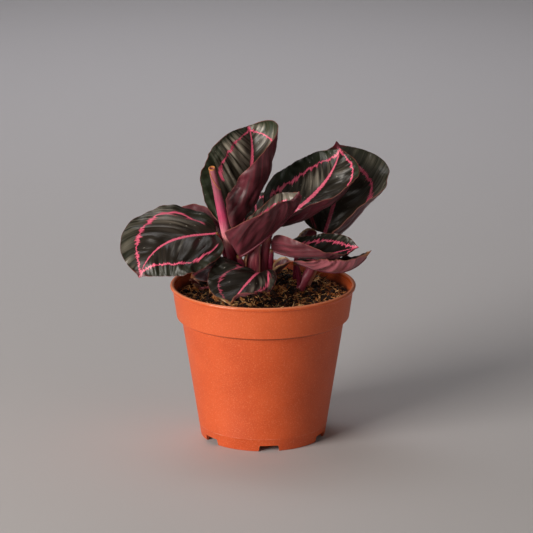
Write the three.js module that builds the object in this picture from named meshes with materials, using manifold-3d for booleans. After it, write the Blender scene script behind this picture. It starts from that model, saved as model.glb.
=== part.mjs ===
// A potted calathea: a round nursery pot of orange plastic, its soil, and the plant, whose dark
// leaves stand on burgundy stems. Millimetres, +Z up. The origin is the middle of the pot's base,
// +X is the plant's right and -Y its front.
import * as THREE from 'three';
import { mergeVertices } from 'three/addons/utils/BufferGeometryUtils.js';
import Module from 'manifold-3d';

const wasm = await Module();
wasm.setup();

// ---------- driving dimensions ----------
const GAP = 0.3;                // between pieces that touch on the real plant

const POT_HEIGHT = 101;
const LIP_RADIUS = 60;
const LIP_HEIGHT = 2.6;
const LIP_LOW_Z = POT_HEIGHT - LIP_HEIGHT;
const COLLAR_TOP_RADIUS = 58.2;
const COLLAR_LOW_RADIUS = 55.2;
const COLLAR_LOW_Z = 79.5;
const SHOULDER_Z = 74.5;        // where the collar has stepped in to the wall
const SHOULDER_RISE = 2.2;      // height of that step
const WALL_TOP_RADIUS = 51.6;
const BASE_RADIUS = 40.6;
const POT_WALL = 1.3;
const POT_CORNER = 0.6;         // size of its small corner cuts
const POT_SIDES = 48;

const FLOOR_Z = 4.4;            // underside of the raised floor
const FLOOR_THICK = 1.4;
const FLOOR_BEND = 2;           // inner corner between floor and wall
const FOOT_WALL = 1.8;
const CENTRE_FOOT_RADIUS = 7;
const NOTCH_COUNT = 6;
const NOTCH_TURN = 5.5;         // degrees from the front toward the right
const NOTCH_WIDTH = 12;
const NOTCH_HEIGHT = 4;
const NOTCH_FLARE = 0.8;        // how much wider it is at the foot, on each side
const DRAIN_RADIUS = 3.5;
const DRAIN_RING = 31;
const DRAIN_SIDES = 12;

const SOIL_EDGE_Z = 92.5;
const SOIL_MOUND = 8;           // how much higher it is heaped round the stems
const MOUND_MIDDLE = [6, 16];
const MOUND_RADIUS = 48;
const SOIL_ROUGH = 0.6;         // height of its lumps
const SOIL_LOOSE = 0.4;         // how far the crumbs stay from the collar
const SOIL_RINGS = 7;
const SOIL_SIDES = 36;
const ROOT_Z = 86;              // where the stems end in the soil

const BLADE_THICK = 0.7;
const BLADE_STEPS = [12, 5];    // along the midrib, and from it to each margin
const SMALL_BLADE_STEPS = [8, 3];
const SMALL_BLADE = 15;         // a half width under this makes a small blade
const ROUND_END = 0.44;         // power of the outline: lower is blunter
const TIP_POINT = 0.4;          // how much the power rises at the very tip
const TIP_SHORT = 16;           // higher keeps that point shorter
const LEFT_PHASE = 2;           // so that the two margins don't wave alike
const LEAST_CURL = 1e-4;        // a half that is never quite flat keeps its arc's radius finite
const STEM_SIDES = 8;
const STEM_STEPS = 8;
const ROLL_SIDES = 12;
const ROLL_STEPS = 12;
const STEM_END = 0.9;           // from a stem's end to the middle of its blade's base

const COLOURS = {
  pot: 0xd2572c, soil: 0x3a2618, leaf: 0x2a3029, stem: 0x7a2c3d, roll: 0xb0486a,
};

// ---------- the leaves ----------
// rib: four points that the midrib runs through, from the blade's base to its tip.
// face: the way the upper surface looks. widest: where along the rib the blade is widest.
// wave: height, count and start of the margin's waves. right and left are the blade's halves, seen
// on the upper surface with the tip up. width: the half's widest. lobe: how far it sweeps back at
// the base. lift: how far it is turned up from the blade's plane, in degrees, at base, middle and
// tip. curl: how far it bends between midrib and margin.
// root: where the stem stands in the soil. neck: the point that steers the stem's top end.
// stem: the stem's radius at its low and its high end.
const LEAVES = {
  tall: {
    rib: [[-19, 2.5, 134.5], [-10.5, 13, 156.5], [-7, 15, 181.5], [-9.5, 20, 199.5]],
    face: [-0.15, -1, 0.2], widest: 0.53, wave: [1.2, 3, 0.5],
    right: { width: 41, lobe: -6, lift: [135, 100, 10], curl: [175, 220, 30] },
    left: { width: 33.5, lobe: 4, lift: [15, 30, 50], curl: [30, 0, 15] },
    root: [-11, 6], neck: [-19, 3, 118], stem: [2.4, 1.6],
  },
  left: {
    rib: [[-30.5, -7.5, 135.5], [-46.5, -12, 135], [-64.5, -20, 130.5], [-78, -28, 113]],
    face: [-0.15, -0.65, 0.75], widest: 0.54, wave: [1.2, 3, 0],
    right: { width: 29, lobe: 8, lift: [-10, 0, 15], curl: [-30, -10, 5] },
    left: { width: 29.5, lobe: 15, lift: [20, 0, 0], curl: [-15, -20, -5] },
    root: [-20, -1], neck: [-24, -5, 128], stem: [2.3, 1.5],
  },
  left_back: {
    rib: [[-20, 15, 120], [-32, 22, 127], [-45, 30, 129], [-58, 38, 123]],
    face: [0.2, 0.8, 0.55], widest: 0.5, wave: [1, 3, 1],
    right: { width: 20, lobe: 3, lift: [25, 15, 5], curl: [20, 20, 10] },
    left: { width: 20, lobe: 3, lift: [25, 15, 5], curl: [20, 20, 10] },
    root: [-12, 16], neck: [-13, 11, 112], stem: [2.2, 1.4],
  },
  centre: {
    rib: [[-15.5, -13, 123], [-4.5, -16.5, 130], [16, -16, 148.5], [23, -17.5, 165]],
    face: [-0.55, -0.2, 0.8], widest: 0.44, wave: [0.8, 3, 0],
    right: { width: 22.5, lobe: 3, lift: [115, 65, 55], curl: [50, 40, 25] },
    left: { width: 18.5, lobe: 0, lift: [80, 90, 25], curl: [50, 25, 15] },
    root: [-5, -7], neck: [-13, -11, 111], stem: [2.2, 1.4],
  },
  right: {
    rib: [[7.5, 12, 137.5], [24.5, 10, 149.5], [40.5, 13, 165.5], [49.5, 16, 185.5]],
    face: [-0.1, -0.95, 0.15], widest: 0.47, wave: [1, 3, 0],
    right: { width: 30, lobe: 3, lift: [95, 75, 5], curl: [70, 140, 35] },
    left: { width: 28, lobe: 3, lift: [25, -25, -25], curl: [10, 15, 0] },
    root: [0, 4], neck: [-2, 10, 122], stem: [3.2, 1.6],
  },
  right_back: {
    rib: [[40.5, 27.5, 127], [46.5, 28, 148], [49, 33, 163], [48, 37, 184]],
    face: [-0.05, -0.9, 0.35], widest: 0.46, wave: [1.2, 3, 1],
    right: { width: 42, lobe: 8, lift: [90, 40, -30], curl: [140, 115, 0] },
    left: { width: 26, lobe: 2, lift: [5, 0, 0], curl: [5, 0, 0] },
    root: [25, 4], neck: [38, 26, 117], stem: [3.1, 1.6],
  },
  low_upper: {
    rib: [[5.5, -3.5, 124.5], [24.5, -9.5, 121], [42.5, -9, 122.5], [60.5, -11.5, 127.5]],
    face: [0.05, -0.15, 1], widest: 0.49, wave: [0.8, 3, 0],
    right: { width: 21.5, lobe: 6, lift: [90, 40, 5], curl: [60, 105, 20] },
    left: { width: 15.5, lobe: 0.5, lift: [35, 40, 50], curl: [20, 25, 10] },
    root: [6, -2], neck: [4, -4, 112], stem: [2, 1.4],
  },
  low_lower: {
    rib: [[20.5, -6, 116.5], [35, -11, 113], [52, -15.5, 113], [68, -22.5, 127.5]],
    face: [-0.05, -0.15, 1], widest: 0.56, wave: [0.8, 3, 0],
    right: { width: 18, lobe: 0, lift: [25, 50, 30], curl: [40, 50, 15] },
    left: { width: 15, lobe: 1.5, lift: [10, 15, 10], curl: [20, 15, 10] },
    root: [24, -1.6], neck: [23.5, -3, 109], stem: [1.8, 1.3],
  },
  front: {
    rib: [[-2, -20, 112.5], [-5.5, -31, 114], [-13, -40.5, 108], [-20.5, -51.5, 101]],
    face: [-0.1, -0.4, 0.9], widest: 0.52, wave: [1, 3, 0],
    right: { width: 26, lobe: 4, lift: [15, 15, 10], curl: [20, -5, 5] },
    left: { width: 16.5, lobe: 0.5, lift: [20, 0, 75], curl: [5, 5, 60] },
    root: [-1, -4], neck: [-2, -15, 108], stem: [1.9, 1.3],
  },
  under_left: {
    rib: [[-20, 9, 105], [-28, 8, 109], [-37, 5, 109], [-46, 3, 104]],
    face: [0, -0.5, 1], widest: 0.5, wave: [0.8, 3, 0],
    right: { width: 10, lobe: 1, lift: [10, 5, 0], curl: [10, 10, 10] },
    left: { width: 13, lobe: 2, lift: [10, 5, 0], curl: [10, 10, 10] },
    root: [-20, 9], neck: [-17, 9, 101], stem: [1.9, 1.2],
  },
  back: {
    rib: [[-3, 16, 122], [-4, 23, 136], [-5, 33, 144.5], [-7, 46, 148.5]],
    face: [0, -0.6, 0.8], widest: 0.5, wave: [1, 3, 0],
    right: { width: 13, lobe: 1, lift: [35, 30, 20], curl: [20, 20, 10] },
    left: { width: 16, lobe: 2, lift: [20, 20, 10], curl: [10, 10, 10] },
    root: [-1, 13], neck: [-2, 12, 112], stem: [2.2, 1.4],
  },
  bract: {
    rib: [[8, -8, 109], [11, -10, 112], [14.5, -12, 115.5], [17.5, -14, 119]],
    face: [-0.7, -0.2, 0.7], widest: 0.5, wave: [0.3, 2, 0],
    right: { width: 7, lobe: 0, lift: [60, 55, 40], curl: [60, 50, 20] },
    left: { width: 7, lobe: 0, lift: [60, 55, 40], curl: [60, 50, 20] },
    root: [3, -9], neck: [5, -8, 105], stem: [1.7, 1.3],
  },
  right_inner: {
    rib: [[22, 12, 116], [26, 13, 123], [30, 14, 128], [34.5, 15, 131]],
    face: [0.3, 0.9, 0.3], widest: 0.55, wave: [0.3, 2, 0],
    right: { width: 6, lobe: 1, lift: [20, 20, 10], curl: [60, 60, 20] },
    left: { width: 7, lobe: 1, lift: [20, 20, 10], curl: [60, 60, 20] },
    root: [21, 15], neck: [21, 13.5, 110], stem: [1.8, 1.2],
  },
};

// The rolled young leaf: centre points from the soil up, with the roll's radius at each.
const ROLL = {
  path: [[-13, -5, ROOT_Z], [-20, -7, 118], [-25.5, -9.5, 146.5], [-32.5, -14, 181]],
  radius: [2.4, 2.9, 3.3, 2.4],
  hollow: 8,                    // how deep the open top is
  wall: 0.8,
  overlap: 0.14,                // step at the outer edge, as a share of the radius
};

// ---------- curves and small helpers ----------
const vec = (p) => new THREE.Vector3(...p);

// The cubic through four points at equal steps of its length parameter.
function curveThrough(points) {
  const [a, b, c, d] = points.map(vec);
  const mix = (...k) => new THREE.Vector3()
    .addScaledVector(a, k[0]).addScaledVector(b, k[1]).addScaledVector(c, k[2]).addScaledVector(d, k[3]);
  return new THREE.CubicBezierCurve3(
    a, mix(-5 / 6, 3, -1.5, 1 / 3), mix(1 / 3, -1.5, 3, -5 / 6), d);
}

// The quadratic through a value at the base, the middle and the tip.
function blend([base, middle, tip], u) {
  return base * (1 - u) * (1 - 2 * u) + middle * 4 * u * (1 - u) + tip * u * (2 * u - 1);
}

function geometryFrom(vertices, triangles) {
  const geometry = new THREE.BufferGeometry();
  geometry.setAttribute('position', new THREE.Float32BufferAttribute(vertices.flat(), 3));
  geometry.setIndex(triangles.flat());
  return geometry;
}

function toSolid(geometry) {
  const bare = geometry.clone();
  bare.deleteAttribute('normal');
  bare.deleteAttribute('uv');
  const merged = mergeVertices(bare, 1e-4);
  return new wasm.Manifold(new wasm.Mesh({
    numProp: 3,
    vertProperties: new Float32Array(merged.attributes.position.array),
    triVerts: new Uint32Array(merged.index.array),
  }));
}

function fromSolid(solid) {
  const mesh = solid.getMesh();
  const geometry = new THREE.BufferGeometry();
  geometry.setAttribute('position', new THREE.BufferAttribute(mesh.vertProperties, 3));
  geometry.setIndex(new THREE.BufferAttribute(mesh.triVerts, 1));
  return geometry;
}

// ---------- blades ----------
// Half of the blade's width at u, as a share of its widest: rounded, with a short pointed tip.
function outline(u, widest) {
  const s = u ** (Math.log(0.5) / Math.log(widest));
  return (4 * s * (1 - s)) ** (ROUND_END + TIP_POINT * u ** TIP_SHORT);
}

function bladePoint(leaf, rib, u, v) {
  const along = rib.getTangent(u);
  const up = vec(leaf.face);
  up.addScaledVector(along, -up.dot(along)).normalize();
  const side = v < 0 ? leaf.left : leaf.right;
  const across = new THREE.Vector3().crossVectors(along, up).multiplyScalar(v < 0 ? -1 : 1);
  const share = outline(u, leaf.widest);
  const lift = THREE.MathUtils.degToRad(blend(side.lift, u));
  const asked = THREE.MathUtils.degToRad(blend(side.curl, u));
  const curl = Math.abs(asked) > LEAST_CURL ? asked : LEAST_CURL;
  // an arc that starts at the midrib, turned up by lift and bent by curl over the whole half
  const start = lift - curl / 2;
  const bend = curl * Math.abs(v);
  const radius = side.width * share / curl;
  const out = radius * (Math.sin(start + bend) - Math.sin(start));
  const rise = -radius * (Math.cos(start + bend) - Math.cos(start));
  const [height, count, phase] = leaf.wave;
  const turn = 2 * Math.PI * count * u + phase + (v < 0 ? LEFT_PHASE : 0);
  const ripple = height * share * v * v * Math.sin(turn);
  const point = rib.getPoint(u);
  point.addScaledVector(across, out - ripple * Math.sin(start + bend));
  point.addScaledVector(up, rise + ripple * Math.cos(start + bend));
  point.addScaledVector(along, -side.lobe * (1 - u) ** 3 * share * Math.abs(v));
  return point;
}

function bladeGeometry(leaf) {
  const rib = curveThrough(leaf.rib);
  const small = Math.max(leaf.right.width, leaf.left.width) < SMALL_BLADE;
  const [steps, sideSteps] = small ? SMALL_BLADE_STEPS : BLADE_STEPS;
  const columns = 2 * sideSteps + 1;
  const rows = [];
  for (let i = 1; i < steps; i++) {
    const u = 0.5 - 0.5 * Math.cos(Math.PI * i / steps);
    const row = [];
    for (let j = 0; j < columns; j++) {
      row.push(bladePoint(leaf, rib, u, j / sideSteps - 1));
    }
    rows.push(row);
  }
  const middle = [...rows.flat(), rib.getPoint(0), rib.getPoint(1)];
  const base = middle.length - 2;
  const tip = middle.length - 1;
  const at = (i, j) => i * columns + j;
  const sheet = [];
  for (let j = 0; j + 1 < columns; j++) {
    sheet.push([base, at(0, j + 1), at(0, j)]);
    for (let i = 0; i + 1 < rows.length; i++) {
      sheet.push([at(i, j), at(i, j + 1), at(i + 1, j + 1)], [at(i, j), at(i + 1, j + 1), at(i + 1, j)]);
    }
    sheet.push([at(rows.length - 1, j), at(rows.length - 1, j + 1), tip]);
  }
  // both faces lie half the thickness from the middle surface and share its triangles
  const normals = middle.map(() => new THREE.Vector3());
  for (const [a, b, c] of sheet) {
    const ab = middle[b].clone().sub(middle[a]);
    const ac = middle[c].clone().sub(middle[a]);
    const normal = ab.cross(ac);
    for (const k of [a, b, c]) {
      normals[k].add(normal);
    }
  }
  const face = (sign) => middle.map((p, k) => p.clone()
    .addScaledVector(normals[k].normalize(), sign * BLADE_THICK / 2).toArray());
  const under = middle.length;
  const triangles = [...sheet, ...sheet.map(([a, b, c]) => [a + under, c + under, b + under])];
  const margin = [base];
  for (let i = 0; i < rows.length; i++) {
    margin.push(at(i, columns - 1));
  }
  margin.push(tip);
  for (let i = rows.length - 1; i >= 0; i--) {
    margin.push(at(i, 0));
  }
  margin.forEach((a, k) => {
    const b = margin[(k + 1) % margin.length];
    triangles.push([b, a, a + under], [b, a + under, b + under]);
  });
  return geometryFrom([...face(1), ...face(-1)], triangles);
}

// ---------- stems ----------
// A closed round tube along a curve, with a radius at each step. An overlap makes it a rolled sheet:
// the radius shrinks by that share once round, which leaves a step along the tube.
function tubeGeometry(curve, radii, sides, overlap = 0) {
  const vertices = [];
  const triangles = [];
  const steps = radii.length - 1;
  const frames = curve.computeFrenetFrames(steps, false);
  const points = curve.getSpacedPoints(steps);
  for (let i = 0; i <= steps; i++) {
    for (let j = 0; j < sides; j++) {
      const angle = 2 * Math.PI * j / sides;
      const radius = radii[i] * (1 - overlap * j / sides);
      const p = points[i].clone();
      p.addScaledVector(frames.normals[i], radius * Math.cos(angle));
      p.addScaledVector(frames.binormals[i], radius * Math.sin(angle));
      vertices.push(p.toArray());
    }
  }
  const at = (i, j) => i * sides + j % sides;
  for (let i = 0; i < steps; i++) {
    for (let j = 0; j < sides; j++) {
      triangles.push([at(i, j), at(i, j + 1), at(i + 1, j + 1)], [at(i, j), at(i + 1, j + 1), at(i + 1, j)]);
    }
  }
  const bottom = vertices.push(points[0].toArray()) - 1;
  const top = vertices.push(points[steps].toArray()) - 1;
  for (let j = 0; j < sides; j++) {
    triangles.push([bottom, at(0, j + 1), at(0, j)], [top, at(steps, j), at(steps, j + 1)]);
  }
  return geometryFrom(vertices, triangles);
}

function stemCurve(leaf) {
  const [base] = leaf.rib.map(vec);
  const root = new THREE.Vector3(...leaf.root, ROOT_Z);
  const neck = vec(leaf.neck);
  const end = base.clone().addScaledVector(base.clone().sub(neck).normalize(), -STEM_END);
  const rise = root.clone().setZ(ROOT_Z + 0.5 * (neck.z - ROOT_Z));
  return new THREE.CubicBezierCurve3(root, rise, neck, end);
}

function stemGeometry(leaf, grow = 0) {
  const [low, high] = leaf.stem;
  const radii = [];
  for (let i = 0; i <= STEM_STEPS; i++) {
    const share = i / STEM_STEPS;
    radii.push(high + (low - high) * (1 - share * share) + grow);
  }
  return tubeGeometry(stemCurve(leaf), radii, STEM_SIDES);
}

function rollRadius(share) {
  const t = 3 * share;
  const k = Math.min(2, Math.floor(t));
  return THREE.MathUtils.lerp(ROLL.radius[k], ROLL.radius[k + 1], t - k);
}

function rollGeometry(grow = 0) {
  const radii = [];
  for (let i = 0; i <= ROLL_STEPS; i++) {
    radii.push(rollRadius(i / ROLL_STEPS) + grow);
  }
  return tubeGeometry(curveThrough(ROLL.path), radii, ROLL_SIDES, ROLL.overlap);
}

function openRollGeometry() {
  const [low, top] = ROLL.path.slice(2).map(vec);
  const along = top.clone().sub(low).normalize();
  const inner = rollRadius(1) * (1 - ROLL.overlap) - ROLL.wall;
  const depth = 2 * ROLL.hollow;
  const bore = new THREE.CylinderGeometry(inner, inner, depth, ROLL_SIDES);
  bore.applyQuaternion(new THREE.Quaternion().setFromUnitVectors(new THREE.Vector3(0, 1, 0), along));
  bore.translate(top.x, top.y, top.z);
  return fromSolid(toSolid(rollGeometry()).subtract(toSolid(bore)));
}

// ---------- pot ----------
function wallRadius(z) {
  return BASE_RADIUS + (WALL_TOP_RADIUS - BASE_RADIUS) * z / SHOULDER_Z;
}

function collarRadius(z) {
  return THREE.MathUtils.mapLinear(z, COLLAR_LOW_Z, LIP_LOW_Z, COLLAR_LOW_RADIUS, COLLAR_TOP_RADIUS);
}

// The pot's section as [radius, height]: along the underside, up the outside, over the lip and
// down the inside to the floor.
function potProfile() {
  const floorTop = FLOOR_Z + FLOOR_THICK;
  const bendZ = floorTop + FLOOR_BEND;
  return [
    [0, 0], [CENTRE_FOOT_RADIUS, 0], [CENTRE_FOOT_RADIUS + POT_CORNER, FLOOR_Z],
    [wallRadius(FLOOR_Z) - FOOT_WALL, FLOOR_Z], [BASE_RADIUS - FOOT_WALL, 0],
    [BASE_RADIUS - POT_CORNER, 0], [wallRadius(POT_CORNER), POT_CORNER], [WALL_TOP_RADIUS, SHOULDER_Z],
    [COLLAR_LOW_RADIUS - POT_WALL, SHOULDER_Z + SHOULDER_RISE], [COLLAR_LOW_RADIUS, COLLAR_LOW_Z],
    [COLLAR_TOP_RADIUS, LIP_LOW_Z], [LIP_RADIUS - POT_CORNER / 2, LIP_LOW_Z + POT_CORNER / 2],
    [LIP_RADIUS, LIP_LOW_Z + LIP_HEIGHT / 2], [LIP_RADIUS - POT_CORNER, POT_HEIGHT - POT_CORNER / 2],
    [LIP_RADIUS - LIP_HEIGHT / 2, POT_HEIGHT], [LIP_RADIUS - LIP_HEIGHT, POT_HEIGHT - POT_CORNER],
    [collarRadius(LIP_LOW_Z - 1) - POT_WALL, LIP_LOW_Z - 1],
    [collarRadius(COLLAR_LOW_Z) - POT_WALL, COLLAR_LOW_Z],
    [WALL_TOP_RADIUS - POT_WALL, SHOULDER_Z - POT_CORNER], [wallRadius(bendZ) - POT_WALL, bendZ],
    [wallRadius(floorTop) - POT_WALL - FLOOR_BEND, floorTop], [0, floorTop],
  ];
}

function lathe(profile, sides) {
  const points = profile.map(([r, z]) => new THREE.Vector2(r, z));
  return new THREE.LatheGeometry(points, sides).rotateX(Math.PI / 2);
}

function potGeometry() {
  let pot = toSolid(lathe(potProfile(), POT_SIDES));
  for (let i = 0; i < NOTCH_COUNT; i++) {
    const angle = THREE.MathUtils.degToRad(NOTCH_TURN - 90 + 360 * i / NOTCH_COUNT);
    const top = NOTCH_WIDTH / 2;
    const foot = top + NOTCH_FLARE;
    const shape = new THREE.Shape([
      new THREE.Vector2(-foot, -1), new THREE.Vector2(foot, -1),
      new THREE.Vector2(top, NOTCH_HEIGHT), new THREE.Vector2(-top, NOTCH_HEIGHT),
    ]);
    const notch = new THREE.ExtrudeGeometry(shape, { depth: NOTCH_WIDTH, bevelEnabled: false });
    notch.rotateX(Math.PI / 2).rotateZ(Math.PI / 2).translate(BASE_RADIUS - top, 0, 0).rotateZ(angle);
    pot = pot.subtract(toSolid(notch));
    const drain = new THREE.CylinderGeometry(DRAIN_RADIUS, DRAIN_RADIUS, 4 * FLOOR_THICK, DRAIN_SIDES);
    drain.rotateX(Math.PI / 2).translate(DRAIN_RING, 0, FLOOR_Z).rotateZ(angle);
    pot = pot.subtract(toSolid(drain));
  }
  return fromSolid(pot);
}

// ---------- soil ----------
// Height of the soil's crumbly surface: heaped round the stems, with uneven lumps.
function soilHeight(x, y) {
  const away = Math.min(1, Math.hypot(x - MOUND_MIDDLE[0], y - MOUND_MIDDLE[1]) / MOUND_RADIUS);
  const lumps = Math.sin(0.31 * x + 1.7) * Math.cos(0.27 * y - 0.4)
    + 0.6 * Math.sin(0.63 * y + 0.22 * x) + 0.5 * Math.cos(0.71 * x - 0.35 * y);
  return SOIL_EDGE_Z + SOIL_MOUND * (1 - away * away) ** 2 + SOIL_ROUGH * lumps;
}

function soilGeometry(stems) {
  const facet = Math.cos(Math.PI / POT_SIDES);
  const inWall = (z) => (wallRadius(z) - POT_WALL) * facet - GAP;
  const inCollar = (z) => (collarRadius(z) - POT_WALL) * facet - GAP - SOIL_LOOSE;
  const floorTop = FLOOR_Z + FLOOR_THICK + GAP;
  const bendZ = floorTop + FLOOR_BEND + GAP;
  const sides = [
    [inWall(floorTop) - FLOOR_BEND, floorTop], [inWall(bendZ), bendZ],
    [inWall(SHOULDER_Z - 1), SHOULDER_Z - 1], [inCollar(COLLAR_LOW_Z + 1), COLLAR_LOW_Z + 1],
  ];
  const vertices = [];
  const triangles = [];
  const ring = (radius, height) => {
    const first = vertices.length;
    for (let j = 0; j < SOIL_SIDES; j++) {
      const angle = 2 * Math.PI * j / SOIL_SIDES;
      const x = radius * Math.cos(angle);
      const y = radius * Math.sin(angle);
      vertices.push([x, y, height(x, y)]);
    }
    return first;
  };
  const rings = sides.map(([r, z]) => ring(r, () => z));
  for (let i = 0; i < SOIL_RINGS; i++) {
    rings.push(ring(inCollar(SOIL_EDGE_Z) * (1 - i / SOIL_RINGS), soilHeight));
  }
  const bottom = vertices.push([0, 0, floorTop]) - 1;
  const top = vertices.push([0, 0, soilHeight(0, 0)]) - 1;
  for (let j = 0; j < SOIL_SIDES; j++) {
    const next = (j + 1) % SOIL_SIDES;
    triangles.push([bottom, rings[0] + next, rings[0] + j]);
    for (let i = 0; i + 1 < rings.length; i++) {
      const [a, b, c, d] = [rings[i] + j, rings[i] + next, rings[i + 1] + next, rings[i + 1] + j];
      triangles.push([a, b, c], [a, c, d]);
    }
    triangles.push([top, rings.at(-1) + j, rings.at(-1) + next]);
  }
  let soil = toSolid(geometryFrom(vertices, triangles));
  for (const stem of stems) {
    soil = soil.subtract(toSolid(stem));
  }
  return fromSolid(soil);
}

// ---------- assembly ----------
function material(color, roughness) {
  return new THREE.MeshStandardMaterial({ color, roughness, metalness: 0 });
}

const plant = new THREE.Group();

function place(name, geometry, surface) {
  const mesh = new THREE.Mesh(geometry, surface);
  mesh.name = name;
  plant.add(mesh);
}

const stemHoles = Object.values(LEAVES).map((leaf) => stemGeometry(leaf, GAP));
stemHoles.push(rollGeometry(GAP));

place('pot', potGeometry(), material(COLOURS.pot, 0.5));
place('soil', soilGeometry(stemHoles), material(COLOURS.soil, 1));
for (const [name, leaf] of Object.entries(LEAVES)) {
  place(`leaf_${name}`, bladeGeometry(leaf), material(COLOURS.leaf, 0.35));
  place(`stem_${name}`, stemGeometry(leaf), material(COLOURS.stem, 0.45));
}
place('leaf_rolled', openRollGeometry(), material(COLOURS.roll, 0.4));

export default plant;
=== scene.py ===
# A potted calathea: near-black leaves with feathered pink bands and burgundy undersides, on thin
# stems in crumbly soil, in an orange nursery pot. +Z is up and -Y is the plant's front. The sizes
# in the dictionaries are millimetres, and toMetres turns them to Blender's metres.
import math
import random

import bmesh
import bpy
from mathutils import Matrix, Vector, noise


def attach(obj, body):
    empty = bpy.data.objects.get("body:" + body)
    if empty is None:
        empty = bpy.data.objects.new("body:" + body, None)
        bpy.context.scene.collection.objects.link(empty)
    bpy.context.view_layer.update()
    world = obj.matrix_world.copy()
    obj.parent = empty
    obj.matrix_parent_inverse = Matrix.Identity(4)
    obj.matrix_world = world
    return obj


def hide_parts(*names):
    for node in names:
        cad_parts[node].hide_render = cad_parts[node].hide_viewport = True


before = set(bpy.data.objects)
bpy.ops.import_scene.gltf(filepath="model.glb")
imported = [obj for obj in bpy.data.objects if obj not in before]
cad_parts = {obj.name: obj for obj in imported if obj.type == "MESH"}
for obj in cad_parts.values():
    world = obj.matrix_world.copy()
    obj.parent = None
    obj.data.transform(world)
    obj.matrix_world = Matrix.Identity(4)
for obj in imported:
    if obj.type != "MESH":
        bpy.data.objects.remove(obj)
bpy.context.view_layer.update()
toMetres = 0.001
print("frame loaded:", len(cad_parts), "nodes")


def linearColour(text):
    channels = [int(text[i:i + 2], 16) / 255 for i in (1, 3, 5)]
    return (*[c / 12.92 if c <= 0.04045 else ((c + 0.055) / 1.055) ** 2.4 for c in channels], 1)


# Adds one node with its settings and links, and gives back one of its outputs. A text input that
# starts with # is a colour.
def addNode(tree, kind, inputs=(), output=0, **settings):
    node = tree.nodes.new("ShaderNode" + kind)
    for name, value in settings.items():
        setattr(node, name, value)
    for socket, value in dict(inputs).items():
        if isinstance(value, bpy.types.NodeSocket):
            tree.links.new(value, node.inputs[socket])
        elif isinstance(value, str):
            node.inputs[socket].default_value = linearColour(value)
        else:
            node.inputs[socket].default_value = value
    return node.outputs[output] if node.outputs else node


def newMaterial(name):
    material = bpy.data.materials.new(name)
    material.use_nodes = True
    material.node_tree.nodes.clear()
    return material, material.node_tree


def finishMaterial(tree, settings):
    shader = addNode(tree, "BsdfPrincipled", settings)
    addNode(tree, "OutputMaterial", {"Surface": shader})


def setStops(socket, stops):
    elements = socket.node.color_ramp.elements
    while len(elements) < len(stops):
        elements.new(0.5)
    for element, (position, colour) in zip(elements, stops):
        element.position = position
        element.color = linearColour(colour)


def smoothStep(value, low, high):
    t = min(1, max(0, (value - low) / (high - low)))
    return t * t * (3 - 2 * t)


def between(pair, share):
    low, high = pair
    return low + (high - low) * share


def blend(three, u):  # the quadratic through a value at the base, the middle and the tip
    base, middle, tip = three
    return base * (1 - u) * (1 - 2 * u) + middle * 4 * u * (1 - u) + tip * u * (2 * u - 1)


def through(values, t):  # a smooth line through values at equal steps, with t from 0 to 1
    at = min(1, max(0, t)) * (len(values) - 1)
    k = min(len(values) - 2, int(at))
    s = at - k
    a, b = values[max(0, k - 1)], values[k]
    c, d = values[k + 1], values[min(len(values) - 1, k + 2)]
    return b + 0.5 * s * (c - a + s * (2 * a - 5 * b + 4 * c - d + s * (3 * (b - c) + d - a)))


def cubicHandles(four):  # the handles of the Bezier curve that runs through four equal steps
    a, b, c, d = four
    return a, -5 / 6 * a + 3 * b - 1.5 * c + 1 / 3 * d, 1 / 3 * a - 1.5 * b + 3 * c - 5 / 6 * d, d


def onBezier(handles, u):
    a, b, c, d = handles
    t = 1 - u
    return t ** 3 * a + 3 * t * t * u * b + 3 * t * u * u * c + u ** 3 * d


def alongBezier(handles, u):
    a, b, c, d = handles
    t = 1 - u
    return (3 * t * t * (b - a) + 6 * t * u * (c - b) + 3 * u * u * (d - c)).normalized()


def newObject(name, build):
    mesh = bpy.data.meshes.new(name)
    build.to_mesh(mesh)
    build.free()
    made = bpy.data.objects.new(name, mesh)
    bpy.context.scene.collection.objects.link(made)
    return made


def newPiece(name, build, nodes, materials, sharpAngle=50):
    piece = newObject(name, build)
    mesh = piece.data
    for material in materials:
        mesh.materials.append(material)
    mesh.polygons.foreach_set("use_smooth", [True] * len(mesh.polygons))
    mesh.set_sharp_from_angle(angle=math.radians(sharpAngle))
    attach(piece, "root")
    if nodes:
        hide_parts(*nodes)
    return piece


def applyModifier(piece, kind, sharpAngle=50, **settings):
    modifier = piece.modifiers.new(kind.lower(), kind)
    for name, value in settings.items():
        setattr(modifier, name, value)
    depsgraph = bpy.context.evaluated_depsgraph_get()
    finished = bpy.data.meshes.new_from_object(piece.evaluated_get(depsgraph))
    piece.modifiers.clear()
    old = piece.data
    piece.data = finished
    bpy.data.meshes.remove(old)
    finished.name = piece.name
    finished.set_sharp_from_angle(angle=math.radians(sharpAngle))


# What each point of a blade carries. leafPlace: its vein, its distance from the midrib in mm and a
# number for its half. leafGaps: distances from the band and the margin in mm, share of the length.
# leafTone: dustiness (below 0 a painted shade), strength of the band, dryness. leafMore: painted highlight,
# strength of the stripe, redness. leafHue: green, painted sheen, warmth.
leafLayers = ("leafPlace", "leafGaps", "leafTone", "leafMore", "leafHue")


# pale: the colour of the painted highlights and the painted sheen on the upper face
leafTopLook = {
    "dark": "#14110D", "brown": "#30251C", "green": "#22301A", "pale": "#BDB3A2",
    "pink": "#F6748F", "rose": "#DA4C70", "crimson": "#82203E", "margin": "#5E2F29",
    "dry": "#B98B52", "red": "#6E1C2C", "speck": "#B9B4A6",
}


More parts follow.
